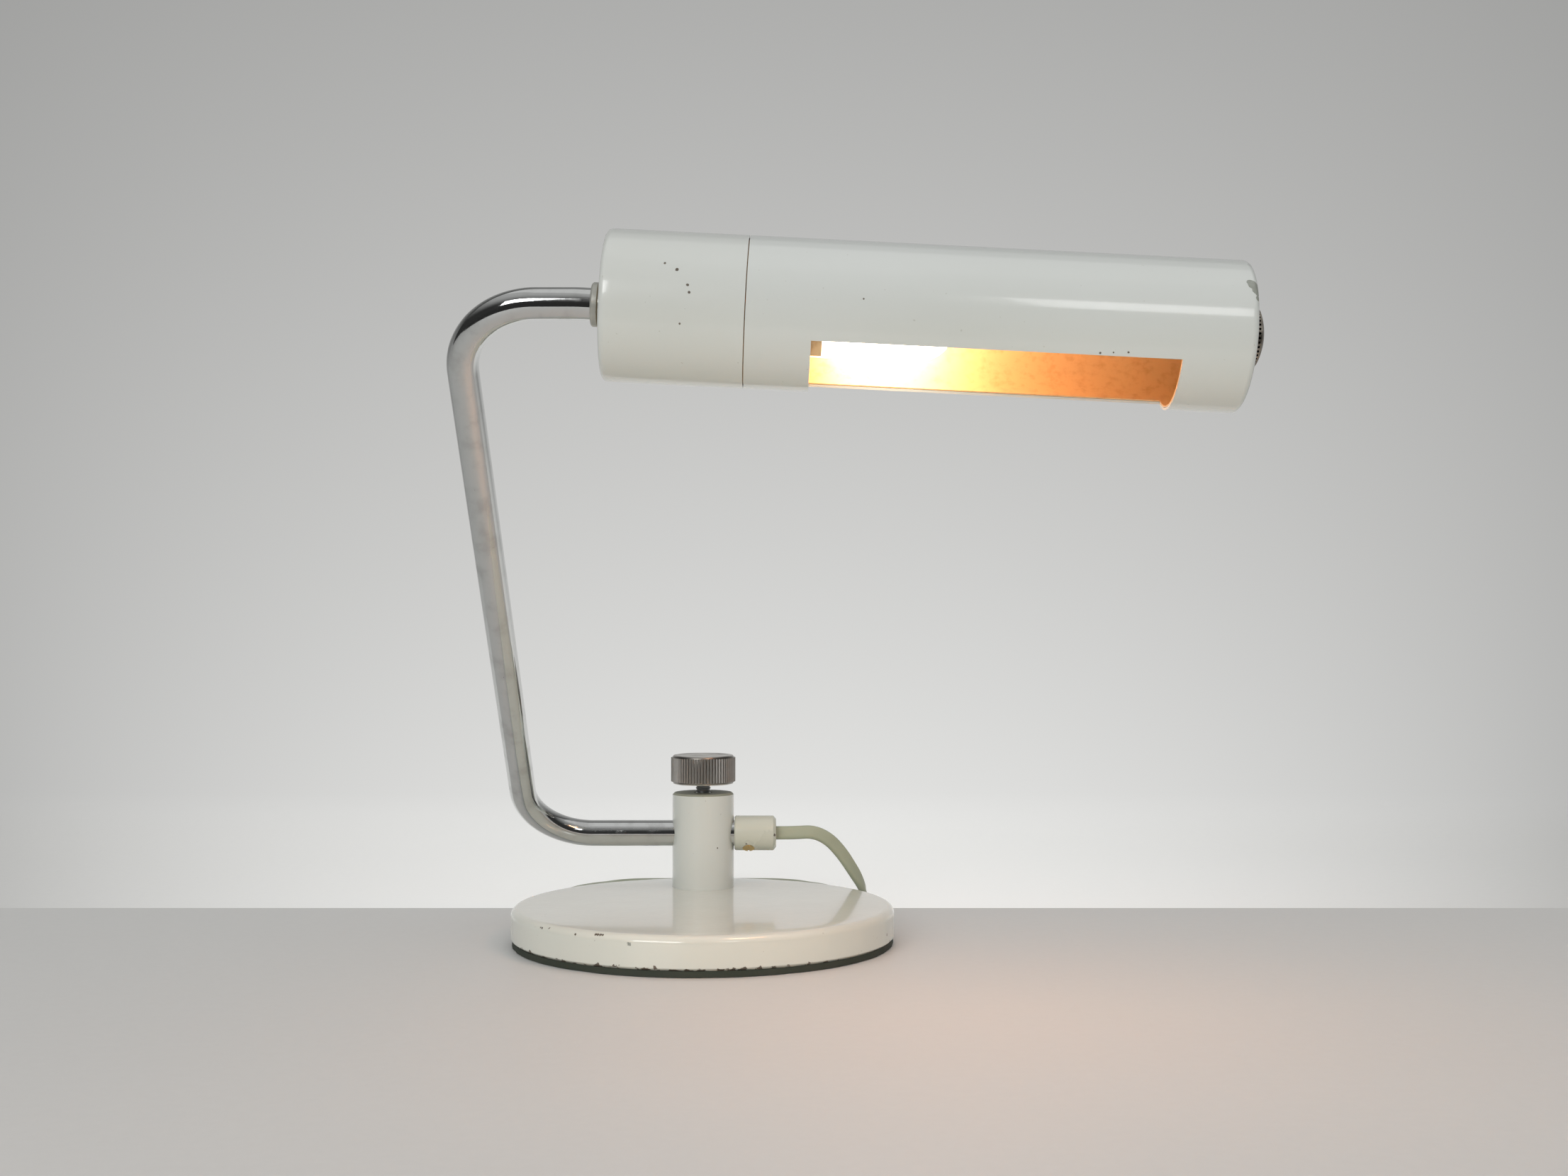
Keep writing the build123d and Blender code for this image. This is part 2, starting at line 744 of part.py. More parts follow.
def main():
    parts = {}
    for made in (base(), upright(), thumb_screw(), arm(), cord(), plug()):
        parts.update(made)
    for made in (nuts(), housing(), spigot(), holder(), bulb(), sleeve(), switch()):
        for name, solid in made.items():
            parts[name] = HEAD * solid
    os.makedirs("parts", exist_ok=True)
    for name, solid in parts.items():
        export_step(solid, f"parts/{name}.step")
    print(len(parts), "nodes")


main()
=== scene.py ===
# %% [markdown]
# # A desk lamp with a swinging arm, dressed for its picture
# The solid model of this lamp is already packed: it fixes every size and every joint. This
# script loads it, keeps it where it is, and gives it its looks. A piece whose solid is only
# a rough stand-in, such as the lead, is made again here as a finer mesh in the same place.
# All sizes are metres in the model's own axes: +Z up, +X along the shade, the viewer at -Y.

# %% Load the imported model
import bpy
import numpy as np
from math import asin, copysign, cos, exp, pi, radians, sin, tan
from mathutils import Matrix, Vector


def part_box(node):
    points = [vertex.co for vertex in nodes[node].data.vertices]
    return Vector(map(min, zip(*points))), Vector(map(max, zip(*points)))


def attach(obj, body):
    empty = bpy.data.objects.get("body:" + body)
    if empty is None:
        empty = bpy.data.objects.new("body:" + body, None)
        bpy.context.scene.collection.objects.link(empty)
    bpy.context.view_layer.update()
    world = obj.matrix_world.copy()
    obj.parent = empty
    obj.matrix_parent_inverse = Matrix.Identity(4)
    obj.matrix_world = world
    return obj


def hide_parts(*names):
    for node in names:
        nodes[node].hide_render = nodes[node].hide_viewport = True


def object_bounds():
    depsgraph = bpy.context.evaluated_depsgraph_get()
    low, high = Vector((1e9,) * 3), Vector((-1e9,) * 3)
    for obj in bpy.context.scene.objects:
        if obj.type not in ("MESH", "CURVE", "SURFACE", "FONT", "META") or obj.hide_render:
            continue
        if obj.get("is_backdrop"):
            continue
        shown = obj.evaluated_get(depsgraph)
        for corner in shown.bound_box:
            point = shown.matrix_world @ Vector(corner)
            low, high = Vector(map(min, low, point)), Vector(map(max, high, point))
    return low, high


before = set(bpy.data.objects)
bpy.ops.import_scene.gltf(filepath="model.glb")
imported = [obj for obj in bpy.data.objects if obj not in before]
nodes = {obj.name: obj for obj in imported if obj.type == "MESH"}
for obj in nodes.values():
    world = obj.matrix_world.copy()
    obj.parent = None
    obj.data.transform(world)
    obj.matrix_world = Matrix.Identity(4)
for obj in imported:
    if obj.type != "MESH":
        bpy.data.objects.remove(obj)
cad_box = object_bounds()
print("solid model's box", [[round(c, 4) for c in corner] for corner in cad_box])

# %% [markdown]
# ## The camera
# The photograph was taken from a little above the table with a short telephoto view. The
# vertical edges run straight up, so the lens is level but for one degree. With the base's
# known width, that fixes the distance and the focal length.

# %% Camera
camera_place = Vector((0.0296, -0.678, 0.1182))
camera_rise = radians(0.974)
camera_data = bpy.data.cameras.new("view")
camera_data.sensor_width = 36
camera_data.sensor_fit = "HORIZONTAL"
camera_data.lens = 42.3
camera_data.clip_start = 0.02
camera = bpy.data.objects.new("view", camera_data)
camera.location = camera_place
camera.rotation_euler = (radians(90) + camera_rise, 0, 0)
bpy.context.scene.collection.objects.link(camera)
bpy.context.scene.camera = camera
print("camera at", camera.location[:])

# %% [markdown]
# ## Helpers for meshes
# Most pieces of a lamp are turned, rolled or bent from tube, so one helper is enough for
# nearly all of them: a loft, which joins rings of points that all have the same count. The
# rings may change size, move sideways or turn, and each end is left open or closed.

# %% Put pieces in the scene
def show(name, mesh):
    """Put a mesh in the scene as an object at the origin."""
    piece = bpy.data.objects.new(name, mesh)
    bpy.context.scene.collection.objects.link(piece)
    return piece


def plain_mesh(name, points, faces, edges=()):
    mesh = bpy.data.meshes.new(name)
    mesh.from_pydata([tuple(p) for p in points], list(edges), faces)
    return mesh


def smooth(mesh, sharp):
    """Smooth shading, with a crisp edge where two faces meet at more than sharp degrees."""
    mesh.shade_smooth()
    mesh.set_sharp_from_angle(angle=radians(sharp))
    return mesh


def mesh_of(name, points, faces, sharp=40):
    mesh = smooth(plain_mesh(name, points, faces), sharp)
    mesh.validate()
    return mesh


def modify(piece, kind, **values):
    modifier = piece.modifiers.new(kind.lower(), kind)
    for name, value in values.items():
        setattr(modifier, name, value)


def evaluated(piece):
    """The mesh that a piece's modifiers make."""
    view = bpy.context.evaluated_depsgraph_get()
    return bpy.data.meshes.new_from_object(piece.evaluated_get(view))


def keep_modified(piece, sharp):
    """Make what a piece's modifiers give its own plain mesh."""
    made = evaluated(piece)
    piece.modifiers.clear()
    piece.data = smooth(made, sharp)
    return piece


def settle(piece, body, slot, *replaced):
    """Hide the nodes a piece stands for and hang it on the body it rides on. The slot is not used.
    """
    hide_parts(*replaced)
    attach(piece, body)
    print(piece.name, "rides on the", body, "with", len(piece.data.polygons), "faces")

print("scene helpers ready")

# %% Loft and turn
def circle_angles(count):
    return [2 * pi * j / count for j in range(count)]


def loft(rings, close_start=True, close_end=True):
    """Points and faces of a skin over rings of points. Rings run anticlockwise as seen from
    the end that the loft runs to, which makes the faces point outwards."""
    count = len(rings[0])
    points = [p for ring in rings for p in ring]
    faces = []
    for i in range(len(rings) - 1):
        a, b = i * count, (i + 1) * count
        for j in range(count):
            k = (j + 1) % count
            faces.append((a + j, a + k, b + k, b + j))
    if close_start:
        points.append(sum((Vector(p) for p in rings[0]), Vector()) / count)
        centre = len(points) - 1
        faces += [(centre, (j + 1) % count, j) for j in range(count)]
    if close_end:
        points.append(sum((Vector(p) for p in rings[-1]), Vector()) / count)
        centre = len(points) - 1
        first = (len(rings) - 1) * count
        faces += [(centre, first + j, first + (j + 1) % count) for j in range(count)]
    return points, faces


def rounded(profile, steps=5):
    """A profile of (along, out) or (along, out, corner radius) points, with its corners
    rounded by short arcs."""
    made = []
    for i, spot in enumerate(profile):
        corner = Vector(spot[:2])
        radius = spot[2] if len(spot) > 2 else 0
        if radius == 0 or i in (0, len(profile) - 1):
            made.append(corner)
            continue
        before = (Vector(profile[i - 1][:2]) - corner).normalized()
        after = (Vector(profile[i + 1][:2]) - corner).normalized()
        half = before.angle(after) / 2
        back = radius / tan(half)
        middle = corner + (before + after).normalized() * (radius / sin(half))
        start = corner + before * back - middle
        end = corner + after * back - middle
        for k in range(steps + 1):
            made.append(middle + start.lerp(end, k / steps).normalized() * radius)
    return made


def turned(profile, place, count=96, close_start=True, close_end=True):
    """A turned shape: the rounded profile goes round the local Z of the place matrix."""
    rings = [[place @ Vector((out * cos(a), out * sin(a), along)) for a in circle_angles(count)]
             for along, out in rounded(profile)]
    return loft(rings, close_start, close_end)


def turned_piece(name, profile, place, count=96, closed=True, sharp=40):
    return show(name, mesh_of(name, *turned(profile, place, count, closed, closed), sharp))

print("loft helpers ready")

# %% [markdown]
# ## The lead: one line first
# A table lamp has about 1.8 m of flat twin lead. The photograph shows only its first
# stretch: straight out of the grip, over in an easy curve and down behind the base's right
# rim. The rest is wound up behind the base, where the base hides it, with the plug on top.
# The whole lead is one smooth curve. Its points were placed where it shows and at
# the plug. Between them a loop adds those of the turns, seven for each half turn.

# %% The lead's control points
low_lay, high_lay = 0.0017, 0.00475
shown_points = [
    (0.0265, 0.0443, 0.0347), (0.0340, 0.0443, 0.0347), (0.0410, 0.0447, 0.0352),
    (0.0472, 0.0457, 0.0322), (0.0522, 0.0470, 0.0266), (0.0562, 0.0488, 0.0204),
    (0.0596, 0.0516, 0.0146), (0.0616, 0.0570, 0.0092), (0.0606, 0.0640, 0.0052),
    (0.0554, 0.0700, 0.0028), (0.0476, 0.0728, 0.0018), (0.0386, 0.0733, low_lay),
]
left_end, right_end = -0.029, 0.021
low_runs = [0.0733, 0.1390, 0.0788, 0.1335, 0.0843, 0.1280, 0.0898, 0.1225, 0.0953, 0.1170]
high_runs = [0.1100, 0.0883, 0.1154, 0.0828, 0.1209, 0.0773]


def half_turn(x_end, y_from, y_to, z, side):
    """Control points of a half circle between two runs: corners of a polygon round it."""
    corners = 5
    step = pi / corners
    radius = abs(y_to - y_from) / 2
    corner = radius / cos(step / 2)
    middle = (y_from + y_to) / 2
    way = 1 if y_to > y_from else -1
    x_start = x_end - side * radius * tan(step / 2)
    points = [(x_start, y_from, z)]
    for k in range(corners):
        a = (k + 0.5) * step
        points.append((x_end + side * corner * sin(a), middle - way * corner * cos(a), z))
    return points + [(x_start, y_to, z)]


coil_points = []
side = -1
for runs, z in ((low_runs, low_lay), (high_runs, high_lay)):
    for y_from, y_to in zip(runs, runs[1:]):
        coil_points += half_turn(left_end if side < 0 else right_end, y_from, y_to, z, side)
        side = -side
tail_points = [
    (0.0130, 0.0775, high_lay), (0.0064, 0.0784, 0.0062), (-0.0004, 0.0822, 0.0086),
    (-0.0040, 0.0895, 0.0102), (-0.0040, 0.1015, 0.0104),
]
lead_points = shown_points + coil_points + tail_points
print(len(lead_points), "control points")

# %% The lead's smooth line
def smooth_line(name, control_points):
    """The points of a NURBS curve through a list of control points, close together."""
    curve = bpy.data.curves.new(name, "CURVE")
    curve.dimensions = "3D"
    curve.resolution_u = 6
    spline = curve.splines.new("NURBS")
    spline.points.add(len(control_points) - 1)
    for point, place in zip(spline.points, control_points):
        point.co = (*place, 1)
    spline.order_u = 3
    spline.use_endpoint_u = True
    holder = bpy.data.objects.new(name, curve)
    mesh = bpy.data.meshes.new_from_object(holder)
    line = [v.co.copy() for v in mesh.vertices]
    bpy.data.meshes.remove(mesh)
    bpy.data.objects.remove(holder)
    bpy.data.curves.remove(curve)
    return line


lead_line = smooth_line("lead_line", lead_points)
lead_gone = [0.0]
for a, b in zip(lead_line, lead_line[1:]):
    lead_gone.append(lead_gone[-1] + (b - a).length)
print(len(lead_line), "points, lead length", round(lead_gone[-1], 4), "m")

# %% [markdown]
# ## The lead's skin
# Flat twin lead is two cores side by side in one soft jacket, with a shallow groove between
# them. A ring of points with that outline is carried along the line. It shows its broad
# side from the grip on and as it falls, as in the photograph, and lies flat in the coil.

# %% Lead mesh
lead_width, lead_thick = 0.0052, 0.0029
broad_turn = radians(76)
turn_from, turn_length = 0.046, 0.032


def twin_outline(width, thick, count=20):
    """The outline of a flat twin lead: an oval with a shallow groove along each flat."""
    outline = []
    for a in circle_angles(count):
        across = copysign(abs(cos(a)) ** 0.62, cos(a)) * width / 2
        groove = 1 - 0.16 * exp(-((across / (0.16 * width)) ** 2))
        outline.append((across, copysign(abs(sin(a)) ** 0.75, sin(a)) * thick / 2 * groove))
    return outline


def swept(line, outline, turns):
    """Rings along a line: the outline, turned about the line by an angle at each point."""
    rings = []
    for i, (spot, turn) in enumerate(zip(line, turns)):
        ahead = (line[min(i + 1, len(line) - 1)] - line[max(i - 1, 0)]).normalized()
        level = ahead.cross(Vector((0, 0, 1))).normalized()
        flat = Matrix.Rotation(turn, 3, ahead) @ level
        rise = flat.cross(ahead)
        rings.append([spot + flat * u + rise * v for u, v in outline])
    return rings


def lead_turn(gone):
    """Broad side to the front from the grip until it is behind the base, flat after that."""
    fall = min(max((gone - turn_from) / turn_length, 0), 1)
    return broad_turn * (1 - fall * fall * (3 - 2 * fall))


lead_rings = swept(lead_line, twin_outline(lead_width, lead_thick), map(lead_turn, lead_gone))
lead = show("lead", mesh_of("lead", *loft(lead_rings), sharp=80))
settle(lead, "stand", "cord_plastic", "cord_free", "cord_coil", "cord_tail")

# %% [markdown]
# ## Node helpers for the finishes
# Every finish below is a small tree of procedural nodes on one Principled shader. These
# helpers keep the trees short. Patterns read Object coordinates: every piece sits at the
# origin, so a spot on the lamp has the same coordinates in its material as in the model.

# %% Short calls for nodes
class Nodes:
    """Short calls for the nodes of one tree: a finish, a shape or the surround."""

    def __init__(self, tree):
        self.tree = tree
        tree.nodes.clear()

    def feed(self, socket, value):
        """Link an input to another node's output, or set it to a plain value."""
        if isinstance(value, bpy.types.NodeSocket):
            self.tree.links.new(value, socket)
        else:
            socket.default_value = value

    def node(self, kind, *values, **named):
        """A new node with its first inputs, and then its named inputs, linked or set."""
        made = self.tree.nodes.new(kind)
        for socket, value in zip(made.inputs, values):
            self.feed(socket, value)
        for name, value in named.items():
            self.feed(made.inputs[name.replace("_", " ")], value)
        return made

    def math(self, operation, first, *rest):
        """One Math node, or a chain of them when more than two values go in."""
        for value in rest or (0.0,):
            step = self.node("ShaderNodeMath", first, value)
            step.operation = operation
            first = step.outputs[0]
        return first

    def times(self, *values):
        return self.math("MULTIPLY", *values)

    def plus(self, *values):
        return self.math("ADD", *values)

    def minus(self, first, second):
        return self.math("SUBTRACT", first, second)

    def over(self, value, limit):
        return self.math("GREATER_THAN", value, limit)

    def under(self, value, limit):
        return self.math("LESS_THAN", value, limit)

    def out_from(self, a, b):
        """The distance of a point from an axis, from its two coordinates across it."""
        return self.math("SQRT", self.plus(self.times(a, a), self.times(b, b)))

    def split(self, vector):
        return self.node("ShaderNodeSeparateXYZ", vector).outputs

    def between(self, value, low, high, first=0.0, last=1.0):
        """The first value where value is under low, the last over high, smooth between."""
        step = self.node("ShaderNodeMapRange", Value=value, From_Min=low, From_Max=high,
                         To_Min=first, To_Max=last)
        step.interpolation_type = "SMOOTHSTEP"
        return step.outputs["Result"]

print("node helper ready")

# %% Short calls for finishes
class Finish(Nodes):
    """A new material with one Principled shader and short calls for its patterns."""

    def __init__(self, name, color, rough, metal=0.0, **sockets):
        self.material = bpy.data.materials.new(name)
        self.material.use_nodes = True
        self.material.diffuse_color = (*color, 1)
        super().__init__(self.material.node_tree)
        self.out = self.node("ShaderNodeOutputMaterial")
        self.skin = self.node("ShaderNodeBsdfPrincipled", Base_Color=(*color, 1),
                              Roughness=rough, Metallic=metal, **sockets)
        self.surface(self.skin.outputs[0])
        self.spot = self.node("ShaderNodeTexCoord").outputs["Object"]

    def surface(self, shader):
        self.feed(self.out.inputs["Surface"], shader)

    def put(self, **sockets):
        """Link or set inputs of the shader itself."""
        for name, value in sockets.items():
            self.feed(self.skin.inputs[name.replace("_", " ")], value)

    def noise(self, scale, detail=3.0, rough=0.55, where=None):
        return self.node("ShaderNodeTexNoise", Vector=where or self.spot, Scale=scale,
                         Detail=detail, Roughness=rough).outputs["Fac"]

    def mapped(self, kind="POINT", **values):
        """Object coordinates moved, turned or stretched."""
        step = self.node("ShaderNodeMapping", Vector=self.spot, **values)
        step.vector_type = kind
        return step.outputs[0]

    def along_head(self):
        """Coordinates along and across the drooping head, for what follows its axis."""
        return self.split(self.mapped("TEXTURE", Location=head_place, Rotation=(0, droop, 0)))

    def scaled(self, value, low, high):
        """A value from 0 to 1, carried to the range from low to high."""
        step = self.node("ShaderNodeMapRange", Value=value, To_Min=low, To_Max=high)
        return step.outputs["Result"]

    def mix(self, share, first, second):
        """Two colours mixed, the second where share is 1."""
        step = self.node("ShaderNodeMix")
        step.data_type = "RGBA"
        colors = [socket for socket in step.inputs if socket.type == "RGBA"]
        self.feed(step.inputs["Factor"], share)
        for socket, color in zip(colors, (first, second)):
            self.feed(socket, color if isinstance(color, bpy.types.NodeSocket) else (*color, 1))
        return [socket for socket in step.outputs if socket.type == "RGBA"][0]

    def near(self, place, radius, ragged=0.0, scale=900):
        """1 inside a ragged spot round a place, 0 outside it."""
        step = self.node("ShaderNodeVectorMath", self.spot, place)
        step.operation = "DISTANCE"
        reach = step.outputs["Value"]
        if ragged:
            wave = self.minus(self.noise(scale, 2.0), 0.5)
            reach = self.plus(reach, self.times(wave, ragged))
        return self.under(reach, radius)

    def bump(self, height, distance, strength, *before):
        step = self.node("ShaderNodeBump", Strength=strength, Distance=distance, Height=height)
        for normal in before:
            self.feed(step.inputs["Normal"], normal)
        return step.outputs["Normal"]


def dress(piece, *finishes):
    """Give a piece its materials, in the order of its slots."""
    piece.data.materials.clear()
    for finish in finishes:
        piece.data.materials.append(finish.material)

print("finish helper ready")

# %% [markdown]
# ## The enamel
# The base, the post, the grip and the shade are steel and iron under baked enamel. The
# base and the post have gone a little creamy, the shade is cooler and whiter. Baked enamel
# is glossy with a faint orange-peel ripple, slightly uneven in tone, and it is chipped to
# dark metal where the lamp has been knocked. The chips sit where the photograph shows them.

# %% Enamel finish
dust_color = (0.30, 0.28, 0.24)
ground_coat = (0.20, 0.21, 0.185), (0.30, 0.315, 0.28)
rusty_metal = (0.05, 0.045, 0.04), (0.17, 0.13, 0.09)
worn_rim_r, worn_rim_z, worn_foot_z = (0.0672, 0.0690), (0.0100, 0.0118), (0.0023, 0.0046)


def enamel(name, color, tint, rough, chips, edge_wear=None, graze=None):
    """Baked enamel: two close tones, orange peel, fine dirt, and chips to bare dark metal.

    A graze is where only the top coat is gone and the grey ground coat shows."""
    made = Finish(name, color, rough, Coat_Weight=0.5, Coat_Roughness=0.05)
    cloud = made.between(made.noise(14, 1.5), 0.25, 0.75)
    dust = made.over(made.noise(700, 1.0), 0.79)
    paint = made.mix(made.times(dust, 0.35), made.mix(cloud, color, tint), dust_color)
    if graze is not None:
        paint = made.mix(graze(made), paint, made.mix(made.noise(1100, 3.0), *ground_coat))
    peel = made.bump(made.noise(420, 2.0), 0.00006, 0.35)
    bare = made.math("MAXIMUM", *[made.near(*chip) for chip in chips])
    if edge_wear is not None:
        bare = made.math("MAXIMUM", bare, edge_wear(made))
    rust = made.mix(made.noise(1600, 3.0), *rusty_metal)
    smoothness = made.scaled(made.noise(60, 4.0), rough - 0.05, rough + 0.09)
    made.put(Base_Color=made.mix(bare, paint, rust),
             Roughness=made.plus(smoothness, made.times(bare, 0.35)),
             Normal=made.bump(made.minus(1.0, bare), 0.0002, 0.6, peel))
    return made


def base_edge_wear(made):
    """Chips along the base's top rim and its ragged lower edge."""
    x, y, z = made.split(made.spot)
    rim = made.times(made.between(made.out_from(x, y), *worn_rim_r),
                     made.between(z, *worn_rim_z), made.over(made.noise(330, 5.0), 0.715))
    foot = made.minus(1.0, made.between(z, *worn_foot_z))
    ragged = made.plus(made.noise(300, 5.0), made.times(foot, 0.17))
    foot = made.times(made.over(foot, 0.01), made.over(ragged, 0.70))
    return made.math("MAXIMUM", rim, foot)


def base_graze(made):
    """One grey scuff low on the base's front left."""
    return made.near((-0.0216, -0.0666, 0.0108), 0.0007, 0.0012, 1300)


# Each chip is a place, a radius and how ragged its edge is.
base_chips = [
    ((-0.0533, -0.0448, 0.0125), 0.0004, 0.0005), ((-0.0540, -0.0440, 0.0125), 0.0003, 0.0004),
    ((-0.0406, -0.0567, 0.0123), 0.0004, 0.0005), ((-0.0333, -0.0607, 0.0130), 0.0005, 0.0008),
    ((-0.0325, -0.0611, 0.0130), 0.0005, 0.0008), ((-0.0317, -0.0615, 0.0130), 0.0005, 0.0008),
    ((-0.0309, -0.0619, 0.0130), 0.0004, 0.0007), ((0.0661, -0.0230, 0.0063), 0.0005, 0.0007),
]
post_chips = [((-0.012, 0.0345, 0.0480), 0.0005, 0.0006),
              ((0.004, 0.0338, 0.030), 0.0003, 0.0004)]
base_enamel = enamel("base_enamel", (0.625, 0.635, 0.575), (0.60, 0.60, 0.54), 0.15,
                     base_chips, base_edge_wear, base_graze)
post_enamel = enamel("post_enamel", (0.57, 0.595, 0.56), (0.545, 0.565, 0.53), 0.18, post_chips)
print("enamels:", base_enamel.material.name, post_enamel.material.name)

# %% [markdown]
# ## Bare metals
# The arm is chromed tube: nearly a mirror, with fine pits where the plating has aged. The
# thumb knob is nickel gone dull, darker down between its knurls. Brass, copper and plain
# steel fill the rest. All are metallic shaders, told apart by tone, roughness and marks.

# %% Metal finishes
def darker(color, share):
    return tuple(c * share for c in color)


def metal(name, color, stain, rough, grain=(1, 1, 1), stain_scale=120, pits=0.80,
          ripple=0.00002):
    """Metal with a stain that comes in clouds, fine pits and a directional grain."""
    made = Finish(name, color, rough, 1.0)
    streak = made.noise(900, 3.0, 0.6, made.mapped(Scale=grain))
    cloud = made.between(made.noise(stain_scale, 5.0), 0.45, 0.75)
    pit = made.over(made.noise(1500, 2.0), pits)
    shade = made.mix(made.times(cloud, 0.6), color, stain)
    worn = made.plus(made.scaled(streak, rough - 0.04, rough + 0.06), made.times(cloud, 0.10))
    made.put(Base_Color=made.mix(pit, shade, darker(stain, 0.35)),
             Roughness=made.plus(worn, made.times(pit, 0.3)),
             Normal=made.bump(streak, ripple, 0.4))
    return made


chrome = metal("chrome", (0.64, 0.65, 0.645), (0.44, 0.44, 0.43), 0.05, pits=0.79,
               ripple=0.00001)
dull_nickel = metal("dull_nickel", (0.46, 0.46, 0.42), (0.34, 0.33, 0.29), 0.45, pits=0.74)
dull_nickel.put(Metallic=0.6)
nickel = metal("worn_nickel", (0.62, 0.64, 0.60), (0.29, 0.295, 0.265), 0.30, pits=0.76)
steel = metal("plain_steel", (0.52, 0.53, 0.54), (0.33, 0.32, 0.31), 0.34, pits=0.78)
brass = metal("aged_brass", (0.72, 0.53, 0.24), (0.34, 0.24, 0.12), 0.28, pits=0.78)
copper = metal("mottled_copper", (0.80, 0.54, 0.29), (0.62, 0.35, 0.16), 0.45,
               stain_scale=340, ripple=0.00004)
copper.put(Metallic=0.5, Coat_Weight=0.5, Coat_Roughness=0.35)
print("metals ready")

# %% [markdown]
# ## Plastics, rubber, porcelain and glass
# The lead and the plug are cream vinyl, soft and slightly grubby, drawn a darker grey-green
# as painted shade. The pad under the base is dark green-black rubber. The lampholder is
# black moulding with a porcelain core, and its wires have a woven heatproof sleeve. The
# bulb is frosted and lit, so its glass glows.

# %% Other finishes
def plastic(name, color, stain, rough, grain_scale=500, depth=0.00004):
    made = Finish(name, color, rough)
    cloud = made.between(made.noise(45, 5.0), 0.4, 0.75)
    speck = made.over(made.noise(900, 1.0), 0.78)
    shade = made.mix(made.times(cloud, 0.5), color, stain)
    made.put(Base_Color=made.mix(made.times(speck, 0.4), shade, darker(stain, 0.4)),
             Roughness=made.scaled(made.noise(90, 3.0), rough - 0.06, rough + 0.08),
             Normal=made.bump(made.noise(grain_scale, 3.0), depth, 0.5))
    return made


# Painted shade: cream vinyl drawn a darker grey-green, as it looks in the shade.
cream_vinyl_painted_shade = plastic("cream_vinyl_painted_shade", (0.325, 0.35, 0.255), (0.27, 0.28, 0.20), 0.42)
pad_rubber = plastic("pad_rubber", (0.030, 0.038, 0.026), (0.06, 0.06, 0.045), 0.75,
                     350, 0.0003)
black_moulding = plastic("black_moulding", (0.022, 0.019, 0.017), (0.05, 0.045, 0.04), 0.25)
porcelain = plastic("porcelain", (0.74, 0.72, 0.67), (0.58, 0.54, 0.48), 0.16, 120)
heat_sleeve = plastic("heatproof_sleeve", (0.62, 0.60, 0.52), (0.45, 0.42, 0.34), 0.80,
                      1800, 0.0002)
tie_strap = plastic("tie_strap", (0.030, 0.030, 0.032), (0.06, 0.06, 0.06), 0.65, 1400, 0.0002)
glowing_glass = plastic("glowing_glass", (0.95, 0.88, 0.74), (0.86, 0.72, 0.50), 0.35, 900)
clear_glass = Finish("clear_glass", (0.92, 0.94, 0.94), 0.05, Transmission_Weight=1.0)
clear_glass.put(Normal=clear_glass.bump(clear_glass.noise(300, 2.0), 0.00002, 0.3))
dress(lead, cream_vinyl_painted_shade)
print(len(bpy.data.materials), "materials so far")

# %% [markdown]
# ## The base and its pad
# The base is a cast-iron disc, thick with enamel, so its edge is soft and its rim is not
# quite true. A turned shape with a little unevenness gives that. Its underside is a ring
# that runs from the rim to the screw's pocket under the post, which is off the centre, so
# the loft's rings slide sideways as they shrink.

# %% Base
base_r, base_top, base_edge, low_edge = 0.070, 0.01385, 0.00275, 0.0009
pad_r, pad_t, pad_hole_r = 0.0696, 0.0023, 0.0090
post_place = Vector((-0.002, 0.0443, 0))
pocket = post_place.x, post_place.y
pocket_r, pocket_top, screw_r = 0.0064, 0.0075, 0.0030
around = 240
rng = np.random.default_rng(7)
wave_size = 0.00005
way_round = np.linspace(0, 2 * pi, around, False)
rim_wave = sum(rng.normal(0, 0.5) * wave_size * np.cos(k * way_round + rng.uniform(0, 6))
               for k in range(3, 15))


def circle(radius, z, centre=(0, 0), wave=None):
    """A ring of points, with its radius made uneven by a wave if one is given."""
    radii = radius + (np.zeros(around) if wave is None else wave)
    return [Vector((centre[0] + r * cos(a), centre[1] + r * sin(a), z))
            for r, a in zip(radii.tolist(), circle_angles(around))]


def shrinking(outer, inner, steps=8):
    """Rings between two rings of the same count, both ends left out."""
    return [[a.lerp(b, k / steps) for a, b in zip(outer, inner)] for k in range(1, steps)]


low_inner = circle(pocket_r, pad_t, pocket)
low_outer = circle(base_r - low_edge, pad_t)
under_top = 0.001
rings = [circle(screw_r, base_top - under_top, pocket), circle(screw_r, pocket_top, pocket),
         circle(pocket_r, pocket_top, pocket), low_inner]
rings += shrinking(low_inner, low_outer) + [low_outer]
rim = rounded([(pad_t, base_r - low_edge), (pad_t + low_edge, base_r, 0.0006),
               (base_top, base_r, base_edge), (base_top, base_r - 0.008)], 8)
wave_rise = 0.002
for along, out in rim[1:]:
    share = min(1, max(0, (along - pad_t) / wave_rise))
    rings.append(circle(out, along, wave=-abs(rim_wave) * share))
rings += [circle(out, base_top) for out in (0.055, 0.045, 0.032, 0.018, 0.006)]
base = show("base", mesh_of("base", *loft(rings), sharp=50))
dress(base, base_enamel)
settle(base, "stand", "base_paint", "base_disc")

# %% Pad under the base
pad_rng = np.random.default_rng(11)
pad_wave = -np.abs(pad_rng.normal(0, 0.00022, around))
pad_wave = (pad_wave + np.roll(pad_wave, 1) + np.roll(pad_wave, 2)) / 2
hole_low, hole_high = (circle(pad_hole_r, z, pocket) for z in (0.0, pad_t))
pad_low, pad_high = (circle(pad_r, z, wave=pad_wave) for z in (0.0002, pad_t))
pad_foot = circle(pad_r - 0.0006, 0.0, wave=pad_wave)
rings = [hole_high, hole_low] + shrinking(hole_low, pad_foot) + [pad_foot, pad_low, pad_high]
rings += shrinking(pad_high, hole_high) + [hole_high]
pad = show("pad", mesh_of("pad", *loft(rings, False, False), sharp=50))
dress(pad, pad_rubber)
settle(pad, "stand", "pad_rubber", "base_pad")

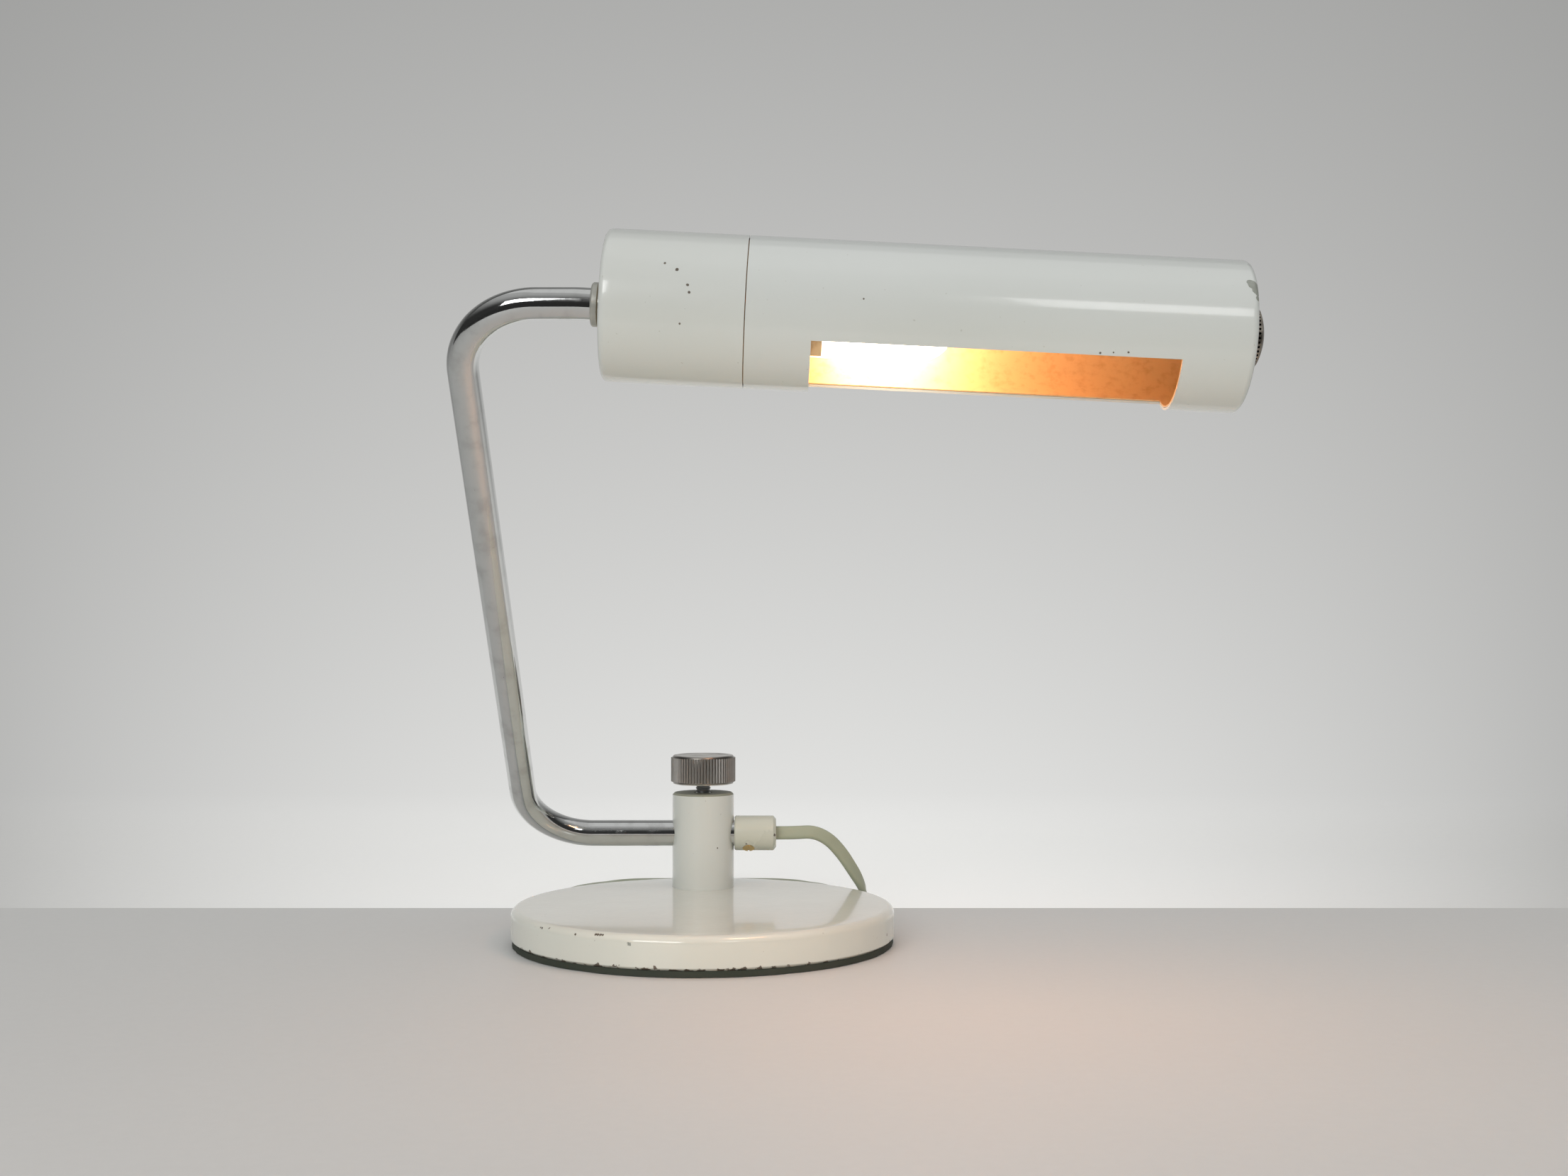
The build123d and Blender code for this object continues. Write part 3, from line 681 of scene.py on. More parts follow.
# %% [markdown]
# ## The post
# The post is a turned rod, cross-drilled for the arm tube and tapped from above for the
# thumb screw. A Boolean cut makes the bore as the drill does. A cut leaves long thin faces
# that shade badly on a round wall, so the wall is first divided into small faces. Enamel
# covers the side; the top is rubbed and grimy.

# %% Post
post_r, post_top, post_edge, axis_z = 0.0120, 0.05055, 0.0008, 0.0347
bore_r, bore_half = 0.00505, 0.03
stud_hole_r, stud_hole_deep = 0.0030, 0.009
wall_faces = 36


def cut(piece, points, faces):
    """Take a closed shape away from a piece, and keep the piece's materials."""
    tool = show("tool", mesh_of("tool", points, faces))
    modify(piece, "BOOLEAN", operation="DIFFERENCE", solver="EXACT", object=tool)
    keep_modified(piece, 30)
    bpy.data.objects.remove(tool)


def quarter_turn(axis, degrees=90):
    return Matrix.Rotation(radians(degrees), 4, axis)


upright = Matrix.Translation(post_place)
wall_top = post_top - post_edge
profile = [(base_top + (wall_top - base_top) * i / wall_faces, post_r) for i in range(wall_faces)]
profile += [(wall_top, post_r, 0.0003), (post_top, post_r - post_edge), (post_top, 0.008),
            (post_top, 0.0036), (post_top - 0.0006, stud_hole_r),
            (post_top - stud_hole_deep, stud_hole_r)]
post = turned_piece("post_skin", profile, upright, 120, sharp=35)
bore_place = Matrix.Translation((-bore_half, post_place.y, axis_z)) @ quarter_turn("Y")
cut(post, *turned([(0, bore_r), (2 * bore_half, bore_r)], bore_place, 72))
bare_top = plastic("worn_top", (0.25, 0.26, 0.20), (0.15, 0.155, 0.11), 0.50)
dress(post, post_enamel, bare_top)
for face in post.data.polygons:
    if face.center.z > post_top - post_edge / 2:
        face.material_index = 1
settle(post, "stand", "post_paint", "post")

# %% [markdown]
# ## The thumb screw
# The knob is a short nickel cylinder with straight knurls pressed into its rim. Knurls are
# the plainest case of a shape that repeats, so Geometry Nodes make them: a circle with one
# point for each knurl, and on each point a small square bar on its edge. The named inputs
# are the sizes that a maker would ask for. Realize Instances turns the bars into mesh.

# %% Geometry Nodes helper
class Recipe(Nodes):
    """A Geometry Nodes tree with named inputs, run once to make a plain mesh."""

    def __init__(self, name):
        super().__init__(bpy.data.node_groups.new(name, "GeometryNodeTree"))
        for way in ("INPUT", "OUTPUT"):
            self.tree.interface.new_socket("Geometry", in_out=way,
                                           socket_type="NodeSocketGeometry")
        self.inp = self.node("NodeGroupInput")
        self.out = self.node("NodeGroupOutput")
        self.values = {}

    def input(self, name, value):
        """A named input. Its identifier, not its name, is what a modifier is set by."""
        kind = "NodeSocketInt" if isinstance(value, int) else "NodeSocketFloat"
        socket = self.tree.interface.new_socket(name, in_out="INPUT", socket_type=kind)
        self.values[socket.identifier] = value
        return self.inp.outputs[name]

    def vector(self, x=0.0, y=0.0, z=0.0):
        return self.node("ShaderNodeCombineXYZ", x, y, z).outputs[0]

    def index(self):
        return self.node("GeometryNodeInputIndex").outputs[0]

    def turn_at(self, count):
        """The angle of each of count points on a circle."""
        return self.times(self.math("DIVIDE", self.index(), count), 2 * pi)

    def on_points(self, points, instance, **more):
        step = self.node("GeometryNodeInstanceOnPoints", Points=points.outputs["Mesh"],
                         Instance=instance.outputs["Mesh"], **more)
        return step.outputs[0]

    def finish(self, geometry, finish):
        """Realize Instances and Set Material, the last two nodes of every tree."""
        real = self.node("GeometryNodeRealizeInstances", Geometry=geometry)
        paint = self.node("GeometryNodeSetMaterial", Geometry=real.outputs[0],
                          Material=finish.material)
        self.feed(self.out.inputs["Geometry"], paint.outputs[0])
        return self

    def run(self, name, place=Matrix.Identity(4), sharp=35, start_mesh=None):
        """Set the modifier's inputs, evaluate it, and keep the result as a plain mesh."""
        holder = show(name, start_mesh or bpy.data.meshes.new(name))
        modify(holder, "NODES", node_group=self.tree)
        for identifier, value in self.values.items():
            holder.modifiers[0][identifier] = value
        made = evaluated(holder)
        bpy.data.objects.remove(holder)
        made.name = name
        made.transform(place)
        print(name, "made by nodes:", len(made.polygons), "faces")
        return show(name, smooth(made, sharp))

print("recipe helper ready")

# %% Knurls by Geometry Nodes
knob_r, knob_h, knob_z = 0.0125, 0.0111, 0.05405
knurl_deep, knob_edge = 0.00045, 0.0009
body_r = knob_r - knurl_deep


def knurl_recipe(finish):
    """Square bars on edge, one on each point of a circle, standing along Z."""
    recipe = Recipe("knurls")
    count = recipe.input("Knurl count", 64)
    radius = recipe.input("Rim radius", body_r)
    width = recipe.input("Bar width", 0.00074)
    height = recipe.input("Bar height", knob_h - 2 * knob_edge)
    ring = recipe.node("GeometryNodeMeshCircle", Vertices=count, Radius=radius)
    bar = recipe.node("GeometryNodeMeshCube", Size=recipe.vector(width, width, height))
    turn = recipe.plus(recipe.turn_at(count), pi / 4)
    set_on = recipe.on_points(ring, bar, Rotation=recipe.vector(z=turn))
    return recipe.finish(set_on, finish)


knob_middle = Matrix.Translation(post_place + Vector((0, 0, knob_z + knob_h / 2)))
knurl_ridges = knurl_recipe(nickel).run("knurl_ridges", knob_middle)

# %% Thumb knob
def merged(name, pieces, sharp=35):
    """Several pieces as one mesh, each keeping its own material, and the first ones gone."""
    finishes, points, faces, which = [], [], [], []
    for piece in pieces:
        start = len(points)
        points += [v.co.copy() for v in piece.data.vertices]
        for material in piece.data.materials:
            if material not in finishes:
                finishes.append(material)
        for face in piece.data.polygons:
            faces.append(tuple(start + k for k in face.vertices))
            which.append(finishes.index(piece.data.materials[face.material_index]))
    for piece in pieces:
        bpy.data.objects.remove(piece)
    mesh = plain_mesh(name, points, faces)
    for material in finishes:
        mesh.materials.append(material)
    for face, slot in zip(mesh.polygons, which):
        face.material_index = slot
    return show(name, smooth(mesh, sharp))


def darkened(made, share, color):
    """Mix a darker colour into a finish that already has its base colour."""
    base_color = made.skin.inputs["Base Color"].links[0].from_socket
    made.put(Base_Color=made.mix(share, base_color, color))
    return made


def worn_knob(name):
    """Dull nickel, darker in a narrow band down between the knurls."""
    made = metal(name, (0.60, 0.58, 0.55), (0.34, 0.32, 0.29), 0.30, (1, 1, 0.12))
    x, y, z = made.split(made.mapped(Location=-post_place))
    out = made.out_from(x, y)
    side = made.between(out, *side_r)
    groove = made.minus(1.0, made.between(out, *groove_r))
    return darkened(made, made.times(side, groove, 0.75), (0.10, 0.09, 0.075))


side_r, groove_r = (0.0116, 0.0119), (0.0120, 0.0124)
knob_skin = worn_knob("worn_knob")
dish = knob_h - 0.00015
knob_profile = [(0, 0.0028), (0, knob_r - knob_edge), (knob_edge, body_r),
                (knob_h - knob_edge, body_r), (knob_h, knob_r - knob_edge, 0.0003),
                (knob_h, knob_r - 0.0024), (dish, knob_r - 0.0026), (dish, 0.006),
                (dish, 0.0005)]
knob_place = Matrix.Translation(post_place + Vector((0, 0, knob_z)))
knob_blank = turned_piece("knob_blank", knob_profile, knob_place, 128)
dress(knob_blank, knob_skin)
dress(knurl_ridges, knob_skin)
thumb_knob = merged("thumb_knob_skin", [knob_blank, knurl_ridges])
settle(thumb_knob, "thumb_screw", "nickel", "thumb_knob")

# %% Screw thread on the stud
stud_low, stud_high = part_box("thumb_stud")
stud_r, thread_deep, pitch = 0.00295, 0.0004, 0.001


def thread_profile(radius, deep, low, high):
    """V grooves one pitch apart, which look like the thread at this size."""
    profile = [(low, radius - deep)]
    for i in range(int((high - low) / pitch)):
        z = low + i * pitch
        profile += [(z + 0.05 * pitch, radius - deep), (z + 0.45 * pitch, radius),
                    (z + 0.55 * pitch, radius), (z + 0.95 * pitch, radius - deep)]
    return profile + [(high, radius - deep)]


stud = turned_piece("stud", thread_profile(stud_r, thread_deep, stud_low.z, stud_high.z), upright,
                    24, sharp=25)
dress(stud, steel)
settle(stud, "thumb_screw", "steel", "thumb_stud")

# %% [markdown]
# ## The arm
# The arm is one chromed tube with three bends. A bent tube follows a rule, so nodes make it
# too: a line through the corner points, Fillet Curve for the bends, and Curve to Mesh with
# a circle. The last corner before the head is only a slight kink, so it has a wider bend
# than the two large ones. Fillet Curve takes that radius as a field on the points.

# %% Arm tube
lean, arm_reach = radians(43), 0.2446
arm_y = post_place.y - arm_reach * sin(lean)
arm_z = axis_z + arm_reach * cos(lean)
droop, kink_to_head = radians(2.9), 0.0085
head_place = Vector((-0.0245, arm_y, arm_z - kink_to_head * sin(droop)))
head = Matrix.Translation(head_place) @ Matrix.Rotation(droop, 4, "Y")
axis_turn = head @ quarter_turn("Y")
tube_start, arm_left, tube_in_head = 0.0213, -0.0703, 0.014
tube_r, tube_wall = 0.005, 0.0015
kink_x = head_place.x - kink_to_head * cos(droop)
arm_corners = [(tube_start, post_place.y, axis_z), (arm_left, post_place.y, axis_z),
               (arm_left, arm_y, arm_z), (kink_x, arm_y, arm_z),
               head @ Vector((tube_in_head, 0, 0))]
kink_corner = 3


def tube_recipe(finish, radius, wall):
    """A tube along a line of corner points, with a fillet at each corner."""
    recipe = Recipe("bent_tube")
    bend = recipe.input("Bend radius", 0.025)
    kink = recipe.input("Kink radius", 0.060)
    outer = recipe.input("Tube radius", radius)
    inner = recipe.input("Bore radius", radius - wall)
    steps = recipe.input("Steps in a bend", 28)
    around_tube = recipe.input("Steps around", 48)
    line = recipe.node("GeometryNodeMeshToCurve", Mesh=recipe.inp.outputs["Geometry"])
    at_kink = recipe.math("COMPARE", recipe.index(), float(kink_corner))
    at_kink.node.inputs[2].default_value = 0.1
    fillet = recipe.node("GeometryNodeFilletCurve", Curve=line.outputs[0])
    fillet.mode = "POLY"
    recipe.feed(fillet.inputs["Count"], steps)
    recipe.feed(fillet.inputs["Radius"],
                recipe.plus(bend, recipe.times(at_kink, recipe.minus(kink, bend))))
    skins = recipe.node("GeometryNodeJoinGeometry")
    for size, flip in ((outer, False), (inner, True)):
        ring = recipe.node("GeometryNodeCurvePrimitiveCircle", Resolution=around_tube, Radius=size)
        skin = recipe.node("GeometryNodeCurveToMesh", Curve=fillet.outputs[0],
                           Profile_Curve=ring.outputs[0])
        if flip:
            skin = recipe.node("GeometryNodeFlipFaces", Mesh=skin.outputs[0])
        recipe.feed(skins.inputs[0], skin.outputs[0])
    return recipe.finish(skins.outputs[0], finish)


corner_pairs = [(i, i + 1) for i in range(len(arm_corners) - 1)]
arm_line = plain_mesh("arm_line", arm_corners, [], corner_pairs)
arm_tube = tube_recipe(chrome, tube_r, tube_wall).run("arm_skin", start_mesh=arm_line)
settle(arm_tube, "arm", "chrome", "arm_tube")

# %% [markdown]
# ## The grip on the lower end
# The short sleeve beside the post holds the lead where it leaves the tube. It is enamelled
# like the post, a little worn at its mouth, with a brass slotted screw on its underside.

# %% Cord grip
grip_left, grip_right, grip_r, mouth_r = 0.0103, 0.0265, 0.00675, 0.0031
screw_from_left, screw_turn, screw_hole_r = 0.0055, 90 + 57, 0.00235
grip_place = Matrix.Translation((0, post_place.y, axis_z)) @ quarter_turn("Y")
grip_profile = [(grip_left + 0.011, tube_r), (grip_left, tube_r), (grip_left, grip_r - 0.0005),
                (grip_left + 0.0005, grip_r, 0.0003), (0.0150, grip_r), (0.0200, grip_r),
                (grip_right - 0.0011, grip_r, 0.0006), (grip_right, grip_r - 0.0013, 0.0004),
                (grip_right, 0.0034, 0.0003), (grip_right - 0.0010, mouth_r),
                (0.0215, mouth_r), (0.0213, tube_r)]
grip = turned_piece("grip_skin", grip_profile, grip_place, closed=False)
screw_aim = Matrix.Translation((grip_left + screw_from_left, post_place.y, axis_z)) \
    @ quarter_turn("X", screw_turn)
cut(grip, *turned([(0.0030, screw_hole_r), (0.0090, screw_hole_r)], screw_aim, 40))
grip_chips = [((0.0262, 0.0380, 0.0345), 0.0007, 0.0008),
              ((0.0150, 0.0385, 0.0310), 0.0004, 0.0005)]
grip_enamel = enamel("grip_enamel", (0.55, 0.57, 0.50), (0.50, 0.51, 0.43), 0.26, grip_chips)
dress(grip, grip_enamel)
settle(grip, "arm", "post_paint", "cord_grip")

# %% [markdown]
# ## The head: rolled tubes
# The head is two tubes in line. The short one is fixed on the arm and holds the lamp. The
# long one turns on it, and a quarter of its wall is cut away as a window. Such a shell is
# simplest as a grid that is wrapped round the axis: lines along the tube, lines round it,
# some of them exactly on the window's edges. Faces inside the window are left out, and
# Solidify gives the sheet its thickness, so the cut edge is as thin as the real one.

# %% Shell helper
shell_r, shell_wall, housing_len, housing_edge = 0.0230, 0.0008, 0.0428, 0.002
sleeve_start, sleeve_end, sleeve_edge = 0.0431, 0.1925, 0.0020
window_start, window_end = 0.0626, 0.1710
window_top, window_back = radians(27.7), radians(119)
face_step, face_angle = 0.004, radians(2.4)
hair = 1e-6


def lines_between(low, high, step):
    """Even steps from low to high, both ends in."""
    count = max(1, round((high - low) / step))
    return [low + (high - low) * i / count for i in range(count + 1)]


def wall(radius, *stops):
    """The (x, radius) points of a straight wall, with one exactly on every stop."""
    lines = [stops[0]]
    for low, high in zip(stops, stops[1:]):
        lines += lines_between(low, high, face_step)[1:-1] + [high]
    return [(x, radius) for x in lines]


def below_front(angle, x, radius):
    """A point of the head: angle 0 faces the viewer, and grows downwards."""
    return head @ Vector((x, -radius * cos(angle), -radius * sin(angle)))


def shell(name, profile, thick, window=None, slit=None):
    """A sheet round the head's axis. The profile gives (x, radius) of its outer face. Faces
    in the window's range of x and angles are left out, and those in the slit's angles."""
    angles = lines_between(window_top, window_back, face_angle)
    angles += lines_between(window_back, window_top + 2 * pi, face_angle)[1:-1]
    if slit:
        angles = sorted({*angles, *slit})
    points = [below_front(a, x, radius) for x, radius in profile for a in angles]
    count = len(angles)
    faces = []
    for i in range(len(profile) - 1):
        middle = (profile[i][0] + profile[i + 1][0]) / 2
        a, b = i * count, (i + 1) * count
        for j, angle in enumerate(angles):
            in_window = window and window[0] < middle < window[1] \
                and window_top - hair < angle < window_back - hair
            if in_window or slit and slit[0] - hair < angle < slit[1] - hair:
                continue
            k = (j + 1) % count
            faces.append((a + j, a + k, b + k, b + j))
    piece = show(name, plain_mesh(name, points, faces))
    modify(piece, "SOLIDIFY", thickness=thick, offset=-1, use_even_offset=True)
    return keep_modified(piece, 35)

print("window from", window_start, "to", window_end, "m along the head")

# %% Fixed housing, turning sleeve and copper liner
def rounded_end(edge, steps):
    """How far an edge of a closed end has come in along and across, from wall to face."""
    return [(edge * (1 - sin(a)), edge * (1 - cos(a)))
            for a in (pi / 2 * k / steps for k in range(1, steps + 1))]


housing_profile = [(0.0, r) for r in (tube_r, 0.009, 0.014, 0.018)]
housing_profile += [(x, shell_r - drop) for x, drop in reversed(rounded_end(housing_edge, 8))]
housing_profile += [(housing_edge, shell_r)] + wall(shell_r, 2 * housing_edge, housing_len)
housing = shell("housing_skin", housing_profile, shell_wall)

bush_r = 0.0044
sleeve_profile = wall(shell_r, sleeve_start, window_start, window_end, sleeve_end - sleeve_edge)
sleeve_profile += [(sleeve_end - x, shell_r - drop) for x, drop in rounded_end(sleeve_edge, 12)]
sleeve_profile += [(sleeve_end, r) for r in (0.0175, 0.0140, 0.0100, 0.0070, bush_r)]
window = (window_start, window_end)
sleeve = shell("sleeve_skin", sleeve_profile, shell_wall, window)

liner_gap, liner_t, liner_end = 0.0001, 0.0004, 0.1860
liner_r = shell_r - shell_wall - liner_gap
slit_half = 0.0015 / liner_r
slit = (radians(270) - slit_half, radians(270) + slit_half)
liner_profile = wall(liner_r, sleeve_start, window_start, window_end, liner_end)
liner = shell("liner_skin", liner_profile, liner_t, window, slit)
print("shells:", housing.name, sleeve.name, liner.name)

# %% Shade enamel and the head's bodies
def end_graze(made):
    """The grey graze on the shade's right rim, with a small one below it."""
    rubbed = made.math("MAXIMUM", *[made.near(place, size, 0.0004, 700) for place, size in (
        ((0.1657, -0.1414, 0.2167), 0.0010), ((0.1665, -0.1418, 0.2158), 0.0016),
        ((0.1673, -0.1418, 0.2152), 0.0016), ((0.1672, -0.1427, 0.2140), 0.0013),
        ((0.1675, -0.1428, 0.2131), 0.0009), ((0.1676, -0.1435, 0.2115), 0.0008))])
    worn = made.near((0.1684, -0.1339, 0.2223), 0.0019, 0.0012, 500)
    return made.math("MAXIMUM", rubbed, made.times(worn, 0.3))


housing_chips = [
    ((-0.0050, -0.1434, 0.2219), 0.0004, 0.0005), ((-0.0015, -0.1441, 0.2199), 0.0005, 0.0006),
    ((0.0016, -0.1453, 0.2152), 0.0004, 0.0006), ((0.0021, -0.1455, 0.2130), 0.0004, 0.0005),
    ((-0.0007, -0.1441, 0.2041), 0.0003, 0.0003),
]
shade_chips = [
    ((0.0527, -0.1454, 0.2111), 0.0003, 0.0002), ((0.1216, -0.1432, 0.1957), 0.0003, 0.0005),
    ((0.1254, -0.1434, 0.1958), 0.0003, 0.0005), ((0.1298, -0.1434, 0.1958), 0.0003, 0.0004),
]
shade_enamel = enamel("shade_enamel", (0.56, 0.58, 0.565), (0.54, 0.56, 0.54), 0.14,
                      shade_chips, None, end_graze)
housing_enamel = enamel("housing_enamel", (0.56, 0.58, 0.56), (0.535, 0.55, 0.525), 0.20,
                        housing_chips)
for piece, finish, body, slot, node in (
        (housing, housing_enamel, "arm", "shade_paint", "lamp_housing"),
        (sleeve, shade_enamel, "shade", "shade_paint", "shade_sleeve"),
        (liner, copper, "shade", "copper", "reflector_liner")):
    dress(piece, finish)
    settle(piece, body, slot, node)

# %% [markdown]
# ## Nuts on the arm's end
# A round dull nut and a brass washer pull the housing tight on the tube. They are small
# turned pieces with soft edges.

# %% Ring nut and washer
bore = tube_r + 0.00002
nut_r, nut_neck_r, washer_r, washer_t = 0.0067, 0.0058, 0.0076, 0.0012
nut_profile = [(-0.0040, bore), (-0.0040, 0.0062, 0.0002), (-0.0035, nut_r, 0.0002),
               (-0.0020, nut_r, 0.0002), (-0.0018, nut_neck_r), (-washer_t, nut_neck_r, 0.0001),
               (-washer_t, bore)]
washer_profile = [(-washer_t, bore), (-washer_t, washer_r, 0.0003), (0.0, washer_r, 0.0003),
                  (0.0, bore)]
for name, profile, finish, slot, node in (
        ("ring_nut_skin", nut_profile, dull_nickel, "chrome", "ring_nut"),
        ("washer_skin", washer_profile, brass, "brass", "brass_washer")):
    piece = turned_piece(name, profile, axis_turn, 72, closed=False)
    dress(piece, finish)
    settle(piece, "arm", slot, node)

# %% [markdown]
# ## The end knob
# A small domed metal knob on the shade's end works the rotary switch inside. A row of
# drilled dimples round its rim gives the fingers hold. Nodes place a short rod on each
# point of a circle and a Mesh Boolean node takes all of them out of the turned knob, so
# they are true holes, as in the real knob.

# %% Dimpled knob by Geometry Nodes
end_knob_r, end_knob_h, end_knob_rim = 0.0087, 0.0060, 0.0040
knob_inner_r, knob_roof = 0.0063, 0.0042
end_knob_x = sleeve_end + 0.0003
dome_rise = end_knob_h - end_knob_rim
dome_r = (end_knob_r**2 + dome_rise**2) / (2 * dome_rise)
dome_angles = [asin(end_knob_r / dome_r) * (1 - k / 14) for k in range(15)]
blank_profile = [(knob_roof, 0.0002), (knob_roof, knob_inner_r), (0.0, knob_inner_r),
                 (0.0, end_knob_r - 0.0002), (0.0002, end_knob_r)]
blank_profile += [(z, end_knob_r) for z in (0.0008, 0.0016, 0.0026)]
blank_profile += [(end_knob_h - dome_r + dome_r * cos(a), max(dome_r * sin(a), 0.00002))
                  for a in dome_angles]


def dimple_recipe(finish):
    """Short rods on the points of a circle, taken out of the mesh that comes in."""
    recipe = Recipe("dimples")
    count = recipe.input("Dimple count", 40)
    radius = recipe.input("Dimple radius", 0.0004)
    rim = recipe.input("Rim radius", end_knob_r)
    height = recipe.input("Height on the rim", 0.0032)
    ring = recipe.node("GeometryNodeMeshCircle", Vertices=count, Radius=rim)
    rod = recipe.node("GeometryNodeMeshCylinder", Vertices=12, Radius=radius, Depth=0.0012)
    set_on = recipe.on_points(ring, rod, Rotation=recipe.vector(0.0, pi / 2, recipe.turn_at(count)))
    moved = recipe.node("GeometryNodeTranslateInstances", Instances=set_on, Local_Space=False,
                        Translation=recipe.vector(z=height))
    real = recipe.node("GeometryNodeRealizeInstances", Geometry=moved.outputs[0])
    holes = recipe.node("GeometryNodeMeshBoolean")
    holes.operation = "DIFFERENCE"
    recipe.feed(holes.inputs["Mesh 1"], recipe.inp.outputs["Geometry"])
    recipe.feed(holes.inputs["Mesh 2"], real.outputs[0])
    return recipe.finish(holes.outputs["Mesh"], finish)


def knob_metal_painted_shade(name):
    """Dark worn metal, with painted shade: nearly black inside the dimples and under the knob."""
    made = metal(name, (0.30, 0.27, 0.23), (0.13, 0.11, 0.09), 0.36, pits=0.74)
    x, y, z = made.along_head()
    skin_deep = 0.00008
    # Painted shade: the dimples and the hollow underside go nearly black.
    low = made.times(made.under(made.out_from(y, z), end_knob_r - skin_deep),
                     made.under(x, end_knob_x + end_knob_rim - 0.0001))
    return darkened(made, low, (0.015, 0.012, 0.010))


blank = mesh_of("end_knob_blank", *turned(blank_profile, Matrix.Identity(4), 132))
end_turn = head @ Matrix.Translation((end_knob_x, 0, 0)) @ quarter_turn("Y")
end_knob = dimple_recipe(knob_metal_painted_shade("dimpled_knob_metal_painted_shade")).run("end_knob_skin", end_turn, 30,
                                                                 blank)
settle(end_knob, "knob", "knob_metal", "switch_knob")

# %% [markdown]
# ## The bulb
# A small tubular bulb with a frosted glass lies in the shade. It is lit: the glass glows
# almost white over the filament and a dull orange near its neck, and its own light falls
# on the copper behind it, in whatever pose the arm stands.

# %% Bulb glass
bulb_r, tube_from, tube_to = 0.0125, 0.058, 0.094
bulb_profile = [(0.0404, 0.0050), (0.0404, 0.0066), (0.0434, 0.0066), (0.0460, 0.0076),
                (0.0490, 0.0094), (0.0520, 0.0116), (0.0545, bulb_r)]
bulb_profile += [(x, bulb_r) for x in lines_between(tube_from, tube_to, 0.006)]
bulb_profile += [(tube_to + bulb_r * sin(a), max(bulb_r * cos(a), 0.00003))
                 for a in (radians(9 * k) for k in range(1, 11))]
bulb = turned_piece("bulb_skin", bulb_profile, axis_turn, 72, sharp=60)
cloud = glowing_glass.mix(glowing_glass.noise(90, 2.0), (1.0, 0.88, 0.68), (1.0, 0.81, 0.56))
neck_end, filament_start = 0.0640, 0.0745
lit_part = glowing_glass.between(glowing_glass.along_head()[0], neck_end, filament_start)
glowing_glass.put(Emission_Color=glowing_glass.mix(lit_part, (0.22, 0.12, 0.05), cloud),
                  Emission_Strength=13.5)
dress(bulb, glowing_glass)
settle(bulb, "arm", "bulb_glass", "bulb_glass")

# %% [markdown]
# ## The plug and the tie
# The plug is a small flat moulding that lies on the coil. Its strain relief is a tapered
# stub with rings, which nodes repeat along it. The tie is a strap once round the front
# runs of the coil.

# %% Plug body and blades
plug_place = Vector((-0.004, 0.1215, 0.0104))
plug_len = 0.0190
plug_size = (0.0200, plug_len, 0.0086)
blade_size, blade_apart, blade_in_plug = (0.0015, 0.0165, 0.0063), 0.00635, 0.0005


def block(name, place, size, finish, edge, waist=0.0, segments=4):
    """A moulded block from a base face at place, running along +Y, with rounded edges."""
    w, l, h = size
    cuts = 6
    points, faces = [], []
    for i in range(cuts + 1):
        half = w / 2 * (1 - waist * sin(pi * i / cuts))
        points += [place + Vector((x, l * i / cuts, z))
                   for x, z in ((-half, -h / 2), (half, -h / 2), (half, h / 2), (-half, h / 2))]
    for i in range(cuts):
        a, b = 4 * i, 4 * (i + 1)
        faces += [(b + j, b + (j + 1) % 4, a + (j + 1) % 4, a + j) for j in range(4)]
    faces += [(0, 1, 2, 3), tuple(4 * cuts + j for j in (3, 2, 1, 0))]
    piece = show(name, plain_mesh(name, points, faces))
    modify(piece, "BEVEL", width=edge, segments=segments, limit_method="ANGLE",
           angle_limit=radians(40))
    keep_modified(piece, 45)
    dress(piece, finish)
    return piece


plug_body = block("plug_body_skin", plug_place, plug_size, cream_vinyl_painted_shade, 0.0021, 0.10)
blades = [block("blade", plug_place + Vector((side * blade_apart, plug_len - blade_in_plug, 0)),
                blade_size, brass, 0.0004, segments=2) for side in (-1, 1)]
plug_blades = merged("plug_blades_skin", blades)
print("plug body", len(plug_body.data.polygons), "faces")

# %% Strain relief with rings, by Geometry Nodes
relief_len = 0.020


def relief_recipe(finish):
    """Rings along a tapered stub: one short cylinder on each point of a line."""
    recipe = Recipe("relief_rings")
    count = recipe.input("Ring count", 7)
    gap = recipe.input("Ring spacing", 0.0024)
    thin = recipe.input("Radius at the lead", 0.0030)
    growth = recipe.input("Growth per ring", 0.00012)
    line = recipe.node("GeometryNodeMeshLine", Count=count, Offset=recipe.vector(z=gap))
    ring = recipe.node("GeometryNodeMeshCylinder", Vertices=32, Radius=1.0, Depth=0.0013)
    size = recipe.plus(thin, recipe.times(growth, recipe.index()))
    set_on = recipe.on_points(line, ring, Scale=recipe.vector(size, size, 1.0))
    return recipe.finish(set_on, finish)


relief_place = Matrix.Translation(plug_place + Vector((0, -relief_len, 0))) \
    @ quarter_turn("X", -90)
rings_place = relief_place @ Matrix.Translation((0, 0, 0.0030))
relief_rings = relief_recipe(cream_vinyl_painted_shade).run("relief_rings", rings_place)
stub_profile = [(0, 0.0016), (0, 0.0024, 0.0003), (0.0010, 0.0027), (0.0190, 0.0036),
                (0.0204, 0.0036)]
stub = turned_piece("relief_stub", stub_profile, relief_place, 32)
dress(stub, cream_vinyl_painted_shade)
relief = merged("plug_relief_skin", [stub, relief_rings])
for piece, slot, node in ((plug_body, "cord_plastic", "plug_body"),
                          (relief, "cord_plastic", "plug_relief"),
                          (plug_blades, "brass", "plug_blades")):
    settle(piece, "stand", slot, node)

